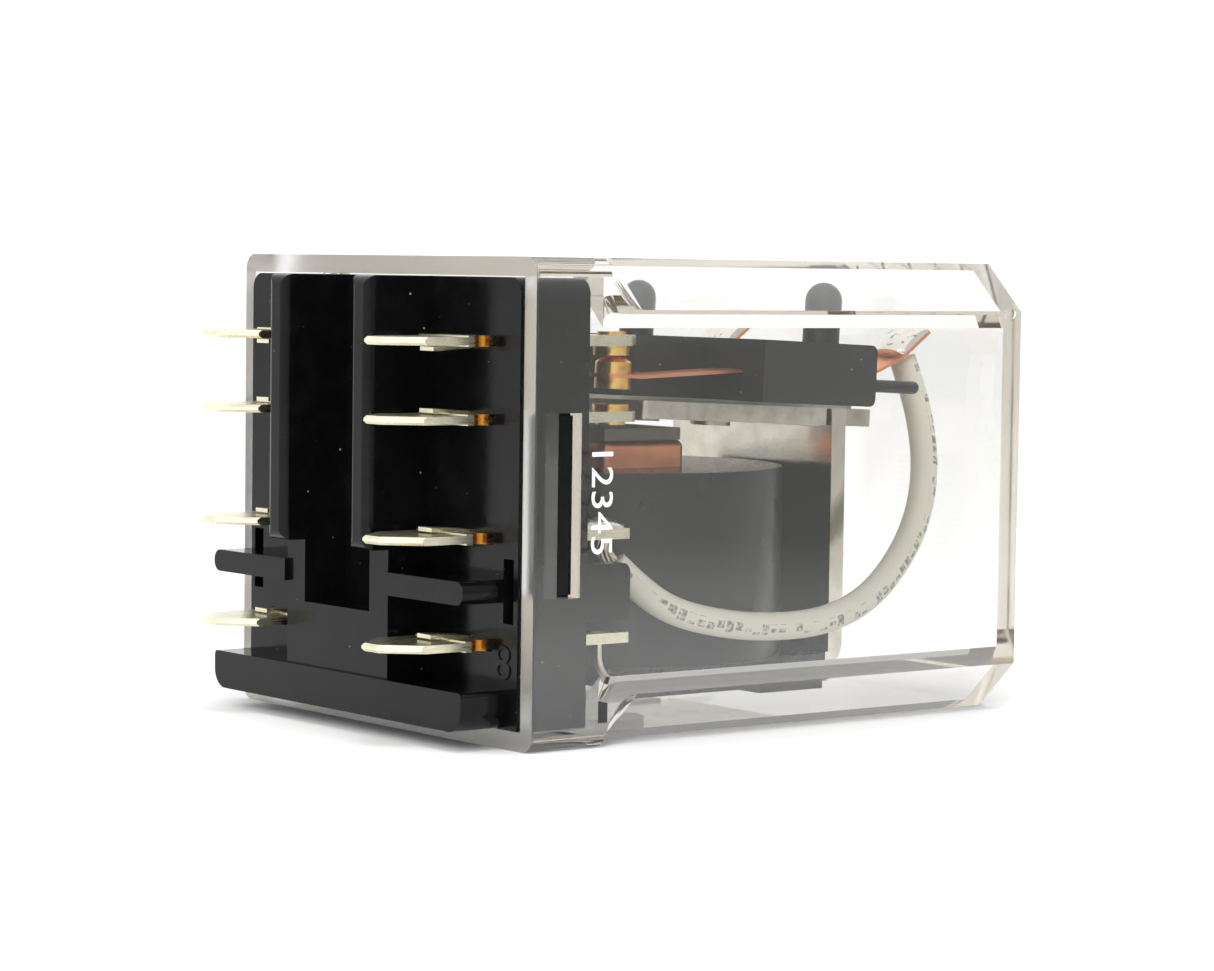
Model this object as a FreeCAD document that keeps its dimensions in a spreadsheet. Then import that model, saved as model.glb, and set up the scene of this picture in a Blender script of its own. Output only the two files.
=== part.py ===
import FreeCAD, Part
import Sketcher
import math
import os
import re

from FreeCAD import Placement, Rotation, Vector

# A two-pole plug-in relay in a clear dust cover, lying on one long side. It is modelled from three planes:
# x runs from the cover's rim (0) to its closed end, y is zero on the plane of symmetry, and z is zero
# on the face that it rests on. The blades point to -x. "front" is the -y side and "rear" the +y side.
# settle() moves every finished piece, so that the origin is below the middle of the whole relay.

doc = FreeCAD.newDocument("plug_in_relay")
sheet = doc.addObject("Spreadsheet::Sheet", "Sizes")

SIZES = {
    # cover
    "cover_length": 48.4,
    "cover_width": 38.9,
    "cover_height": 35.7,
    "cover_wall": 1.4,
    "cover_end": 1.5,
    "cover_bevel": 3.76,
    "inner_bevel": 3.7,
    "flange_length": 6.6,
    "scoop_length": 3.0,
    "rim_round": 1.2,
    "end_round": 0.35,
    "window_start": 2.1,
    "window_width": 2.1,
    "window_low": 11.1,
    "window_high": 24.5,
    "gate_radius": 0.6,
    "gate_depth": 0.15,
    # base
    "fit_gap": 0.1,
    "floor_proud": 0.27,
    "floor_back": 1.93,
    "skirt_reach": 5.5,
    "skirt_wall": 1.5,
    "sill_reach": 6.3,
    "sill_top": 4.0,
    "base_round": 1.2,
    "tab_reach": 9.5,
    "tab_low": 9.2,
    "tab_high": 13.4,
    "notch_width": 1.25,
    "notch_depth": 1.5,
    "catch_height": 0.8,
    "rib_span": 13.66,
    "rib_width": 2.43,
    "rib_depth": 5.69,
    "rib_foot": 14.0,
    "rib_round": 0.7,
    "strip_depth": 3.7,
    "block_top": 9.25,
    "rail_depth": 4.1,
    "rail_top": 4.4,
    "rail_half": 16.75,
    "rail_round": 1.5,
    "arm_low": 10.7,
    "arm_high": 12.4,
    "arm_half": 16.9,
    "boss_reach": 12.0,
    # terminals
    "column": 11.1,
    "row_nc": 29.55,
    "row_no": 23.85,
    "row_com": 15.2,
    "row_coil": 7.4,
    "blade_reach": 8.45,
    "blade_width": 6.35,
    "blade_thick": 0.8,
    "plug_thick": 0.6,
    "plug_root": 2.2,
    "blade_taper": 2.4,
    "tip_half": 1.0,
    "tip_chamfer": 0.2,
    "slot_play": 0.6,
    "shoulder": 2.8,
    "tongue_half": 1.85,
    "side_tongue": 2.0,
    "side_tongue_end": 12.3,
    "wire_hole_x": 10.4,
    "wire_hole_y": 2.175,
    "edge_notch": 0.62,
    "edge_notch_x": 1.0,
    "tang_length": 3.4,
    "tang_width": 1.7,
    "tang_rise": 0.35,
    "tang_thick": 0.3,
    # contacts
    "contact_x": 12.8,
    "contact_radius": 1.375,
    "nc_head": 0.73,
    "no_head": 0.5,
    "rivet_radius": 0.75,
    "stake_radius": 1.1,
    "stake_height": 0.25,
    "contact_gap": 0.05,
    "lower_head": 0.85,
    "dome_height": 1.4,
    "dome_rise": 0.5,
    # moving blade
    "strip_thick": 0.25,
    "strip_rise": 2.5,
    "strip_bend_x": 36.9,
    "strip_knee_x": 40.65,
    "strip_end_x": 43.5,
    "first_slope": 24,
    "second_slope": 38,
    # armature and carrier, in the closed position
    "hinge_x": 36.75,
    "open_angle": 2.6,
    "armature_low": 22.6,
    "armature_thick": 1.4,
    "armature_start": 17.0,
    "armature_half": 9.7,
    "armature_end": 41.6,
    "neck_half": 8.3,
    "hook_slot": 1.4,
    "pole_gap": 0.05,
    "plate_thick": 0.3,
    "plate_start": 11.5,
    "plate_end": 40.6,
    "plate_half": 8.15,
    "carrier_high": 4.8,
    "carrier_start": 24.0,
    "carrier_end": 35.6,
    "carrier_half": 15.45,
    "nose_start": 16.0,
    "nose_half": 8.2,
    "carrier_round": 0.6,
    "post_x": 32.9,
    "post_y": 11.7,
    "post_radius": 1.45,
    "post_height": 2.5,
    "guide_radius": 0.5,
    "guide_y": 14.9,
    "guide_rise": 1.65,
    "guide_end": 40.0,
    "pin_x": 28.0,
    "pin_y": 4.5,
    "pin_radius": 1.0,
    "pin_head": 1.6,
    "pin_head_high": 0.4,
    "pin_depth": 2.0,
    # yoke
    "yoke_x": 36.0,
    "yoke_thick": 1.45,
    "yoke_half": 10.05,
    "yoke_low": 3.1,
    "yoke_high": 24.0,
    "foot_half": 8.0,
    "foot_start": 2.6,
    "bend_round": 2.2,
    "neck_play": 0.2,
    "hinge_play": 0.1,
    "lug_level": 6.6,
    "lug_thick": 0.8,
    "lug_reach": 3.2,
    "lug_half": 1.5,
    # coil
    "coil_x": 21.0,
    "coil_radius": 13.75,
    "tape_thick": 0.3,
    "tape_low": 4.8,
    "flange_top": 19.5,
    "flange_thick": 0.9,
    "coil_foot_thick": 1.2,
    "tube_wall": 1.25,
    "winding_play": 0.45,
    "core_radius": 4.5,
    "tenon_radius": 2.5,
    "tenon_head": 3.2,
    "tenon_head_high": 0.5,
    "foot_wide": 12.0,
    "foot_level": 3.3,
    "foot_from": 12.0,
    "foot_to": 27.0,
    "lug_to": 33.5,
    "lug_low": 2.9,
    "ring_x": 19.9,
    "ring_length": 8.2,
    "ring_half": 6.45,
    "ring_wall": 2.2,
    "ring_high": 2.1,
    "ring_round": 0.8,
    "ring_edge": 0.6,
    "pole_lip": 0.35,
    # screws
    "screw_x": 5.1,
    "screw_y": 5.0,
    "screw_radius": 1.25,
    "screw_head": 2.1,
    "screw_head_high": 1.3,
    "screw_depth": 1.4,
    "screw_slot": 0.5,
    # leads and spring
    "lead_radius": 1.08,
    "strand_radius": 0.6,
    "coil_wire_radius": 0.3,
    "tail_solder_long": 1.75,
    "tail_solder_wide": 1.8,
    "tongue_solder_long": 2.1,
    "tongue_solder_wide": 0.95,
    "solder_high": 0.8,
    "solder_spread": 1.35,
    "spring_radius": 1.5,
    "spring_wire": 0.4,
    "spring_pitch": 0.5,
    "spring_low": 9.6,
    "spring_turns": 20,
    "spring_gap": 0.3,
    "spring_hook": 1.2,
}

for number, (name, amount) in enumerate(SIZES.items(), start=1):
    sheet.set("A%d" % number, name)
    sheet.set("B%d" % number, str(amount))
    sheet.setAlias("B%d" % number, name)
doc.recompute()

# Route of the front lead, chosen by hand: from the common terminal, round the coil, up to the tail.
LEAD_ROUTE = [
    (11.4, -13.5, 12.9),
    (13.2, -14.4, 10.9),
    (15.8, -15.45, 9.1),
    (20.7, -15.95, 8.0),
    (25.5, -15.95, 7.6),
    (30.4, -15.95, 7.8),
    (34.6, -15.95, 9.2),
    (38.2, -15.45, 11.8),
    (41.4, -14.45, 15.2),
    (43.2, -13.3, 19.1),
    (43.6, -12.3, 22.6),
    (43.2, -11.6, 25.6),
    (42.4, -11.2, 28.0),
]
# Bare end of the same lead, from the insulation up through the hole in the common terminal.
STRAND_ROUTE = [
    (11.4, -13.5, 12.9),
    (10.5, -13.05, 13.9),
    (10.4, -13.275, 14.8),
    (10.4, -13.275, 15.6),
]
# End of the coil's wire, from the coil terminal down beside the bobbin's foot.
COIL_WIRE_ROUTE = [
    (10.2, -13.3, 7.0),
    (10.2, -13.3, 5.7),
    (10.8, -13.1, 4.6),
    (12.2, -12.5, 4.05),
    (14.0, -12.42, 3.8),
]

SIDES = {"front": -1, "rear": 1}
nodes = []


def bound(text):
    """Turn the names of sizes in a formula into references to the sheet."""
    def cell(word):
        name = word.group()
        return "Sizes." + name if name in SIZES else name

    return re.sub(r"[a-z]\w*", cell, text)


def amount_of(text):
    """The present amount of a formula, in millimetres or degrees."""
    return float(sheet.evalExpression(bound(text)))


def block(name, x, y, z):
    """A box between two formulas on each axis."""
    box = doc.addObject("Part::Box", name)
    for axis, side, (low, high) in zip("xyz", ("Length", "Width", "Height"), (x, y, z)):
        box.setExpression(side, bound("(%s) - (%s)" % (high, low)))
        box.setExpression("Placement.Base." + axis, bound(low))
    return box


AXIS_TURNS = {
    "x": Rotation(Vector(0, 1, 0), 90),
    "y": Rotation(Vector(1, 0, 0), -90),
    "z": Rotation(),
}


def rod(name, axis, start, radius, length):
    """A cylinder from a start point along one axis."""
    cylinder = doc.addObject("Part::Cylinder", name)
    cylinder.Placement = Placement(Vector(), AXIS_TURNS[axis])
    cylinder.setExpression("Radius", bound(radius))
    cylinder.setExpression("Height", bound(length))
    for letter, place in zip("xyz", start):
        cylinder.setExpression("Placement.Base." + letter, bound(place))
    return cylinder


def ball(name, centre, radius):
    sphere = doc.addObject("Part::Sphere", name)
    sphere.setExpression("Radius", bound(radius))
    for letter, place in zip("xyz", centre):
        sphere.setExpression("Placement.Base." + letter, bound(place))
    return sphere


def joined(name, pieces):
    fuse = doc.addObject("Part::MultiFuse", name)
    fuse.Shapes = pieces
    fuse.Refine = True
    return fuse


def cut_by(name, piece, tools):
    """The piece with all the tools taken away from it."""
    cut = doc.addObject("Part::Cut", name)
    cut.Base = piece
    cut.Tool = tools[0] if len(tools) == 1 else joined(name + "_tools", tools)
    cut.Refine = True
    return cut


def rounded(name, piece, radius, chosen):
    """Round the piece's edges for which chosen(middle, direction) is true."""
    doc.recompute()
    fillet = doc.addObject("Part::Fillet", name)
    fillet.Base = piece
    size = amount_of(radius)
    edges = enumerate(piece.Shape.Edges, start=1)
    fillet.Edges = [(i, size, size) for i, edge in edges if picked(edge, chosen)]
    return fillet


def picked(edge, chosen):
    if len(edge.Vertexes) < 2:
        return False
    ends = [vertex.Point for vertex in edge.Vertexes]
    return chosen((ends[0] + ends[1]) / 2, (ends[1] - ends[0]).normalize())


def new_body(name):
    return doc.addObject("PartDesign::Body", name)


def own_plane(body, role):
    return next(feature for feature in body.Origin.OriginFeatures if feature.Role == role)


def sketch(body, plane, outlines=(), circles=(), lift="0"):
    """Closed outlines of straight lines, and circles, each point tied to its two formulas."""
    drawing = body.newObject("Sketcher::SketchObject", body.Name + "_sketch")
    drawing.AttachmentSupport = (own_plane(body, plane), [""])
    drawing.MapMode = "FlatFace"
    drawing.setExpression("AttachmentOffset.Base.z", bound(lift))
    for outline in outlines:
        draw_outline(drawing, outline)
    for across, up, radius in circles:
        centre = Vector(amount_of(across), amount_of(up), 0)
        curve = drawing.addGeometry(Part.Circle(centre, Vector(0, 0, 1), amount_of(radius)))
        tie_point(drawing, curve, 3, across, up)
        tie(drawing, drawing.addConstraint(radius_rule(curve, amount_of(radius))), radius)
    return drawing


def rule(*parts):
    return Sketcher.Constraint(*parts)


def radius_rule(curve, size):
    return rule("Radius", curve, size)


def tie(drawing, constraint, text):
    drawing.setExpression("Constraints[%d]" % constraint, bound(text))


def tie_point(drawing, curve, end, across, up):
    tie(drawing, drawing.addConstraint(rule("DistanceX", -1, 1, curve, end, amount_of(across))), across)
    tie(drawing, drawing.addConstraint(rule("DistanceY", -1, 1, curve, end, amount_of(up))), up)


def draw_outline(drawing, outline):
    points = [Vector(amount_of(across), amount_of(up), 0) for across, up in outline]
    lines = []
    for start, end in zip(points, points[1:] + points[:1]):
        lines.append(drawing.addGeometry(Part.LineSegment(start, end)))
    for line, following in zip(lines, lines[1:] + lines[:1]):
        drawing.addConstraint(rule("Coincident", line, 2, following, 1))
    for line, (across, up) in zip(lines, outline):
        tie_point(drawing, line, 1, across, up)


def pad(body, drawing, length, both_ways=False):
    feature = body.newObject("PartDesign::Pad", body.Name + "_pad")
    feature.Profile = drawing
    feature.setExpression("Length", bound(length))
    feature.Midplane = both_ways
    return feature


def pocket(body, drawing):
    """Cut the outline right through, both ways."""
    feature = body.newObject("PartDesign::Pocket", body.Name + "_pocket")
    feature.Profile = drawing
    feature.Type = "ThroughAll"
    feature.Midplane = True
    return feature


def soften(body, kind, radius, chosen):
    """A PartDesign fillet or chamfer on the chosen edges of the body as it is now."""
    doc.recompute()
    tip = body.Tip
    names = ["Edge%d" % i for i, edge in enumerate(tip.Shape.Edges, start=1) if picked(edge, chosen)]
    feature = body.newObject("PartDesign::" + kind, body.Name + "_" + kind.lower())
    feature.Base = (tip, names)
    feature.setExpression("Radius" if kind == "Fillet" else "Size", bound(radius))
    return feature


def settle(label, piece, y="0", z="0", moving=False):
    """Give a finished piece its label and its place, and turn the moving ones to the open position."""
    doc.recompute()
    piece.Label = label
    middle = amount_of("(cover_length - blade_reach) / 2")
    place = Placement(Vector(0, amount_of(y), amount_of(z)), Rotation())
    if moving:
        hinge = Vector(amount_of("hinge_x"), 0, amount_of("armature_low"))
        turn = Rotation(Vector(0, 1, 0), amount_of("open_angle"))
        place = Placement(Vector(), turn, hinge).multiply(place)
    piece.Placement = Placement(Vector(-middle, 0, 0), Rotation()).multiply(place).multiply(piece.Placement)
    nodes.append(piece)


def solid_feature(name, shape):
    feature = doc.addObject("Part::Feature", name)
    feature.Shape = shape
    return feature


# ---------------------------------------------------------------- cover

def corner_tools():
    """Box and cylinder that cut one long edge each: a 45 degree bevel with a scooped start."""
    depth = "(cover_bevel / sqrt(2))"
    scoop = "((scoop_length ^ 2 + %s ^ 2) / (2 * %s))" % (depth, depth)
    start = "flange_length + scoop_length"
    tools = []
    for across in (-1, 1):
        for up in (-1, 1):
            edge_z = "cover_height" if up > 0 else "0"
            turn = Rotation(Vector(1, 0, 0), math.degrees(math.atan2(up, across)))
            box = doc.addObject("Part::Box", "bevel")
            cylinder = doc.addObject("Part::Cylinder", "scoop")
            box.setExpression("Length", bound("cover_length"))
            box.setExpression("Width", bound("2 * cover_bevel"))
            box.setExpression("Height", bound("2 * cover_bevel"))
            cylinder.setExpression("Radius", bound(scoop))
            cylinder.setExpression("Height", bound("2 * cover_bevel"))
            for tool, out in ((box, "(-%s)" % depth), (cylinder, "(%s - %s)" % (scoop, depth))):
                tool.Placement = Placement(Vector(), turn)
                places = {
                    "x": start,
                    "y": "%d * (cover_width / 2 + %s / sqrt(2)) + %d * cover_bevel / sqrt(2)"
                         % (across, out, up),
                    "z": "%s + %d * %s / sqrt(2) - %d * cover_bevel / sqrt(2)" % (edge_z, up, out, across),
                }
                for axis, place in places.items():
                    tool.setExpression("Placement.Base." + axis, bound(place))
                tools.append(tool)
    return tools


def make_cover():
    """Clear moulded dust cover: a rectangular flange, a bevelled body and two latch windows."""
    half = "cover_width / 2"
    outside = block("cover_block", ("0", "cover_length"), ("-%s" % half, half), ("0", "cover_height"))
    outside = cut_by("cover_outside", outside, corner_tools())
    flange_long = amount_of("flange_length")
    outside = rounded(
        "cover_rim", outside, "rim_round",
        lambda middle, way: abs(way.x) > 0.99 and middle.x < flange_long,
    )
    far_end = amount_of("cover_length") - 0.01
    outside = rounded("cover_ends", outside, "end_round", lambda middle, way: middle.x > far_end)
    inner = "(cover_width / 2 - cover_wall)"
    low = "cover_wall"
    high = "(cover_height - cover_wall)"
    mouth = block("cover_mouth", ("-1", "flange_length"), ("-" + inner, inner), (low, high))
    cavity = new_body("cover_cavity")
    outline = []
    for across, up in ((-1, -1), (1, -1), (1, 1), (-1, 1)):
        level = high if up > 0 else low
        corner = [
            ("%d * (%s - inner_bevel)" % (across, inner), level),
            ("%d * %s" % (across, inner), "%s - %d * inner_bevel" % (level, up)),
        ]
        outline += corner if across * up < 0 else corner[::-1]
    pad(cavity, sketch(cavity, "YZ_Plane", [outline]), "cover_length - cover_end")
    window = block(
        "cover_windows", ("window_start", "window_start + window_width"),
        ("-cover_width", "cover_width"), ("window_low", "window_high"),
    )
    gate = rod("gate_mark", "y", ("cover_length - 1.4", "-cover_width / 2 - 1", "cover_height - 3.9"),
               "gate_radius", "1 + gate_depth")
    cover = cut_by("cover", outside, [mouth, cavity, window, gate])
    settle("cover", cover)


# ---------------------------------------------------------------- base

def make_base():
    """Black moulded plug face: floor, skirt, key ribs, arms and rail, with a slot for each terminal."""
    half = "(cover_width / 2 - cover_wall - fit_gap)"
    low = "(cover_wall + fit_gap)"
    high = "(cover_height - cover_wall - fit_gap)"
    front = "-floor_proud"
    shell = block("floor", (front, "skirt_reach"), ("-" + half, half), (low, high))
    shell = rounded("floor_round", shell, "base_round",
                    lambda middle, way: abs(way.x) > 0.99 and middle.z > 20)
    hollow = block("skirt_hollow", ("floor_back", "skirt_reach + 1"),
                   ("-%s + skirt_wall" % half, "%s - skirt_wall" % half),
                   ("%s + skirt_wall" % low, "%s - skirt_wall" % high))
    shell = cut_by("shell", shell, [hollow])
    pieces = [shell]
    pieces.append(block("boss", ("floor_back - 0.5", "boss_reach"), ("-foot_half", "foot_half"),
                        (low, "yoke_low")))
    rib_in = "(rib_span / 2 - rib_width)"
    strip_front = "-floor_proud - strip_depth"
    rail_front = "-floor_proud - rail_depth"
    pieces.append(block("key_block", (strip_front, front), ("-" + rib_in, rib_in), (low, "block_top")))
    rail = block("rail", (rail_front, front), ("-rail_half", "rail_half"), (low, "rail_top"))
    rail = rounded("rail_ends", rail, "rail_round",
                   lambda middle, way: abs(way.x) > 0.99 and middle.z < amount_of("rail_top") - 1)
    rail = rounded("rail_tops", rail, "end_round", lambda middle, way: abs(way.x) > 0.99)
    pieces.append(rail)
    for side, s in SIDES.items():
        pieces += side_pieces(side, s, half, rib_in, front, strip_front, rail_front)
    body = joined("base_body", pieces)
    tools = []
    for side, s in SIDES.items():
        outer = "%d * (%s - skirt_wall / 3)" % (s, half)
        inner = "%d * (%s - skirt_wall / 3 - notch_width)" % (s, half)
        span = (inner, outer) if s > 0 else (outer, inner)
        tools.append(block("notch_" + side, (front + " - 1", front + " + notch_depth"), span,
                           ("tab_low", "tab_high + 0.5")))
        for row in ("row_nc", "row_no", "row_com", "row_coil"):
            reach = "(blade_width / 2 + slot_play)"
            span = ("%d * column - %s" % (s, reach), "%d * column + %s" % (s, reach))
            level = (row + " - blade_thick / 2", row + " + blade_thick / 2")
            tools.append(block("slot_" + side, (front + " - 1", "floor_back + 0.5"), span, level))
        tools.append(rod("screw_hole_" + side, "z", ("screw_x", "%d * screw_y" % s, "yoke_low - screw_depth"),
                         "screw_radius", "screw_depth + 1"))
    base = cut_by("base", body, tools)
    settle("base", base)


def side_pieces(side, s, half, rib_in, front, strip_front, rail_front):
    """The rib, strip, arm, tab and catch on one side of the base."""
    def span(near, far):
        return ("%d * (%s)" % (s, near), "%d * (%s)" % (s, far)) if s > 0 else ("-(%s)" % far, "-(%s)" % near)

    top = "(cover_height - cover_wall - fit_gap)"
    rib_front = amount_of("-floor_proud - rib_depth")
    rib = block("rib_" + side, ("-floor_proud - rib_depth", front), span(rib_in, "rib_span / 2"),
                ("rib_foot", top))
    rib = rounded("rib_round_" + side, rib, "rib_round", lambda middle, way: middle.x < rib_front + 0.01)
    strip = block("strip_" + side, (strip_front, front), span(rib_in, "rib_span / 2"),
                  ("cover_wall + fit_gap", "rib_foot"))
    arm = block("arm_" + side, (rail_front, front), span("rib_span / 2 - 0.2", "arm_half"),
                ("arm_low", "arm_high"))
    arm_end = amount_of("arm_half") - 0.1
    arm = rounded("arm_round_" + side, arm, "(arm_high - arm_low) / 2 - 0.05",
                  lambda middle, way: abs(way.x) > 0.99 and abs(middle.y) > arm_end)
    tab = block("tab_" + side, ("floor_back - 0.5", "tab_reach"), span(half + " - skirt_wall", half),
                ("tab_low", "tab_high"))
    tab_end = amount_of("tab_reach") - 0.01
    tab = rounded("tab_round_" + side, tab, "rib_round",
                  lambda middle, way: abs(way.y) > 0.99 and middle.x > tab_end)
    catch = block("catch_" + side, ("window_start + fit_gap", "window_start + window_width - 3 * fit_gap"),
                  span(half + " - 0.5", half + " + catch_height"),
                  ("window_low + 2 * fit_gap", "window_high - 2 * fit_gap"))
    sill = block("sill_" + side, ("floor_back - 0.5", "sill_reach"),
                 span("foot_half + fit_gap", half + " - 1"),
                 ("cover_wall + fit_gap", "sill_top"))
    return [rib, strip, arm, tab, catch, sill]


# ---------------------------------------------------------------- terminals and fixed contacts

def make_terminal(label, row, s, side_tongue, tang_way):
    """One stamped blade: pointed plug end, notched neck, lanced tang and an inner tongue."""
    body = new_body(label)
    w = "blade_width / 2"

    def at(x, y):
        return (x, "%d * (%s)" % (s, y))

    plug = [
        at("-blade_reach", "-tip_half"),
        at("blade_taper - blade_reach", "-" + w),
        at("shoulder", "-" + w),
        at("shoulder", w),
        at("blade_taper - blade_reach", w),
        at("-blade_reach", "tip_half"),
    ]
    root = [at("-plug_root", "-" + w), at("shoulder", "-" + w), at("shoulder", w), at("-plug_root", w)]
    if side_tongue:
        near, far, end = "wire_hole_y - side_tongue / 2", "wire_hole_y + side_tongue / 2", "side_tongue_end"
    else:
        near, far, end = "-tongue_half", "tongue_half", "contact_x"
    tongue = [at("shoulder / 2", near), at(end, near), at(end, far), at("shoulder / 2", far)]
    pad(body, sketch(body, "XY_Plane", [plug], lift="-plug_thick / 2"), "plug_thick")
    lift = "-blade_thick / 2"
    pad(body, sketch(body, "XY_Plane", [root], lift=lift), "blade_thick")
    pad(body, sketch(body, "XY_Plane", [tongue], lift=lift), "blade_thick")
    if not side_tongue:
        pad(body, sketch(body, "XY_Plane", circles=[("contact_x", "0", "tongue_half")], lift=lift),
            "blade_thick")
    holes = [("-edge_notch_x", "%d * %s" % (way, w), "edge_notch") for way in (-1, 1)]
    if side_tongue:
        holes.append(("wire_hole_x", "%d * wire_hole_y" % s, "strand_radius + fit_gap"))
    else:
        holes.append(("contact_x", "0", "rivet_radius"))
    pocket(body, sketch(body, "XY_Plane", circles=holes))
    tip_x = amount_of("blade_taper - blade_reach")
    soften(body, "Chamfer", "tip_chamfer",
           lambda middle, way: middle.x < tip_x - 0.1 and abs(way.z) < 0.1)
    face = "blade_thick / 2"
    tang = [
        ("-floor_proud", "%d * (%s - tang_thick / 2)" % (tang_way, face)),
        ("-tang_length - floor_proud", "%d * (%s + tang_rise - tang_thick)" % (tang_way, face)),
        ("-tang_length - floor_proud", "%d * (%s + tang_rise)" % (tang_way, face)),
        ("-tang_length - floor_proud + 0.6", "%d * (%s + tang_rise)" % (tang_way, face)),
        ("-floor_proud", "%d * (%s + tang_thick / 2)" % (tang_way, face)),
    ]
    pad(body, sketch(body, "XZ_Plane", [tang]), "tang_width", both_ways=True)
    settle(label, body, y="%d * column" % s, z=row)


def make_fixed_contact(label, row, s, head_size, way):
    """A contact rivet staked through the tongue; way is the side that its head faces."""
    face = "blade_thick / 2"
    head_low = face if way > 0 else "-%s - %s" % (face, head_size)
    stake_low = "-%s - stake_height" % face if way > 0 else face
    head = rod(label + "_head", "z", ("contact_x", "0", head_low), "contact_radius", head_size)
    stake = rod(label + "_stake", "z", ("contact_x", "0", stake_low), "stake_radius", "stake_height")
    shank = rod(label + "_shank", "z", ("contact_x", "0", "-" + face), "rivet_radius", "blade_thick")
    settle(label, joined(label, [head, stake, shank]), y="%d * column" % s, z=row)


def make_terminals():
    for side, s in SIDES.items():
        make_terminal("nc_terminal_" + side, "row_nc", s, False, -1)
        make_terminal("no_terminal_" + side, "row_no", s, False, 1)
        make_terminal("common_terminal_" + side, "row_com", s, True, 1)
        make_terminal("coil_terminal_" + side, "row_coil", s, True, 1)
        make_fixed_contact("nc_contact_" + side, "row_nc", s, "nc_head", -1)
        make_fixed_contact("no_contact_" + side, "row_no", s, "no_head", 1)


# ---------------------------------------------------------------- moving contacts and blades

NO_FACE = "(row_no + blade_thick / 2 + no_head)"
STRIP_LOW = "(%s + contact_gap + lower_head)" % NO_FACE
STRIP_LEVEL = "(armature_low + armature_thick + strip_rise)"
KNEE_LEVEL = "(%s + (strip_knee_x - strip_bend_x) * tan(first_slope))" % STRIP_LEVEL


def strip_outline():
    """Side view of the copper strip: contact end, rise, flat part, tail bent up in two steps."""
    end = "%s + (strip_end_x - strip_knee_x) * tan(second_slope)" % KNEE_LEVEL
    lower = [
        ("contact_x - tongue_half", STRIP_LOW),
        ("contact_x + contact_radius", STRIP_LOW),
        ("carrier_start", STRIP_LEVEL),
        ("strip_bend_x", STRIP_LEVEL),
        ("strip_knee_x", KNEE_LEVEL),
        ("strip_end_x", end),
    ]
    slopes = ["0", "0", "0", "first_slope / 2", "(first_slope + second_slope) / 2", "second_slope"]
    upper = []
    for (x, z), slope in zip(lower, slopes):
        upper.append(("%s - strip_thick * sin(%s)" % (x, slope), "%s + strip_thick * cos(%s)" % (z, slope)))
    return lower + upper[::-1]


def make_contact_blade(label, s):
    body = new_body(label)
    pad(body, sketch(body, "XZ_Plane", [strip_outline()]), "2 * tongue_half", both_ways=True)
    pocket(body, sketch(body, "XY_Plane", circles=[("contact_x", "0", "rivet_radius")]))
    front = amount_of("contact_x - tongue_half") + 0.01
    soften(body, "Fillet", "tongue_half - 0.15",
           lambda middle, way: abs(way.z) > 0.99 and middle.x < front)
    settle(label, body, y="%d * column" % s, moving=True)


def make_moving_contact(label, s):
    """Double contact rivet: flat head below the strip, domed head above it."""
    top = STRIP_LOW + " + strip_thick"
    lower = rod(label + "_lower", "z", ("contact_x", "0", STRIP_LOW + " - lower_head"), "contact_radius",
                "lower_head")
    shank = rod(label + "_shank", "z", ("contact_x", "0", STRIP_LOW), "rivet_radius", "strip_thick")
    upper = rod(label + "_upper", "z", ("contact_x", "0", top), "contact_radius", "dome_height - dome_rise")
    crown = "(contact_radius ^ 2 + dome_rise ^ 2) / (2 * dome_rise)"
    sphere = ball(label + "_ball", ("contact_x", "0", "%s + dome_height - %s" % (top, crown)), crown)
    keep = rod(label + "_keep", "z", ("contact_x", "0", top + " + dome_height - dome_rise"),
               "contact_radius", "dome_height")
    dome = doc.addObject("Part::Common", label + "_dome")
    dome.Base = sphere
    dome.Tool = keep
    settle(label, joined(label, [lower, shank, upper, dome]), y="%d * column" % s, moving=True)


def make_carrier():
    """Black moulded block that holds both strips, with a nose, two posts and two lead guides."""
    low = "(armature_low + armature_thick + plate_thick)"
    high = "(%s + carrier_high)" % low
    wide = block("carrier_block", ("carrier_start", "carrier_end"), ("-carrier_half", "carrier_half"),
                 (low, high))
    far_end = amount_of("carrier_end") - 0.01
    wide = rounded("carrier_round", wide, "carrier_round",
                   lambda middle, way: abs(way.y) > 0.99 and middle.x > far_end)
    nose = block("carrier_nose", ("nose_start", "carrier_start + 1"), ("-nose_half", "nose_half"),
                 (low, high + " - 0.6"))
    pieces = [wide, nose]
    tools = []
    for side, s in SIDES.items():
        y = "%d * post_y" % s
        pieces.append(rod("post_" + side, "z", ("post_x", y, high + " - 0.5"), "post_radius",
                          "post_height + 0.5"))
        pieces.append(ball("post_dome_" + side, ("post_x", y, high + " + post_height"), "post_radius"))
        level = low + " + guide_rise"
        guide = "%d * guide_y" % s
        pieces.append(rod("guide_" + side, "x", ("carrier_end - 0.5", guide, level),
                          "guide_radius", "guide_end - carrier_end + 0.5"))
        pieces.append(ball("guide_tip_" + side, ("guide_end", guide, level), "guide_radius"))
        span = ("%d * column - tongue_half" % s, "%d * column + tongue_half" % s)
        tools.append(block("strip_slot_" + side, ("carrier_start - 1", "carrier_end + 1"), span,
                           (STRIP_LEVEL, STRIP_LEVEL + " + strip_thick")))
        tools.append(rod("pin_hole_" + side, "z", ("pin_x", "%d * pin_y" % s, low), "pin_radius",
                         "pin_depth"))
    settle("carrier", cut_by("carrier", joined("carrier_body", pieces), tools), moving=True)


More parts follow.
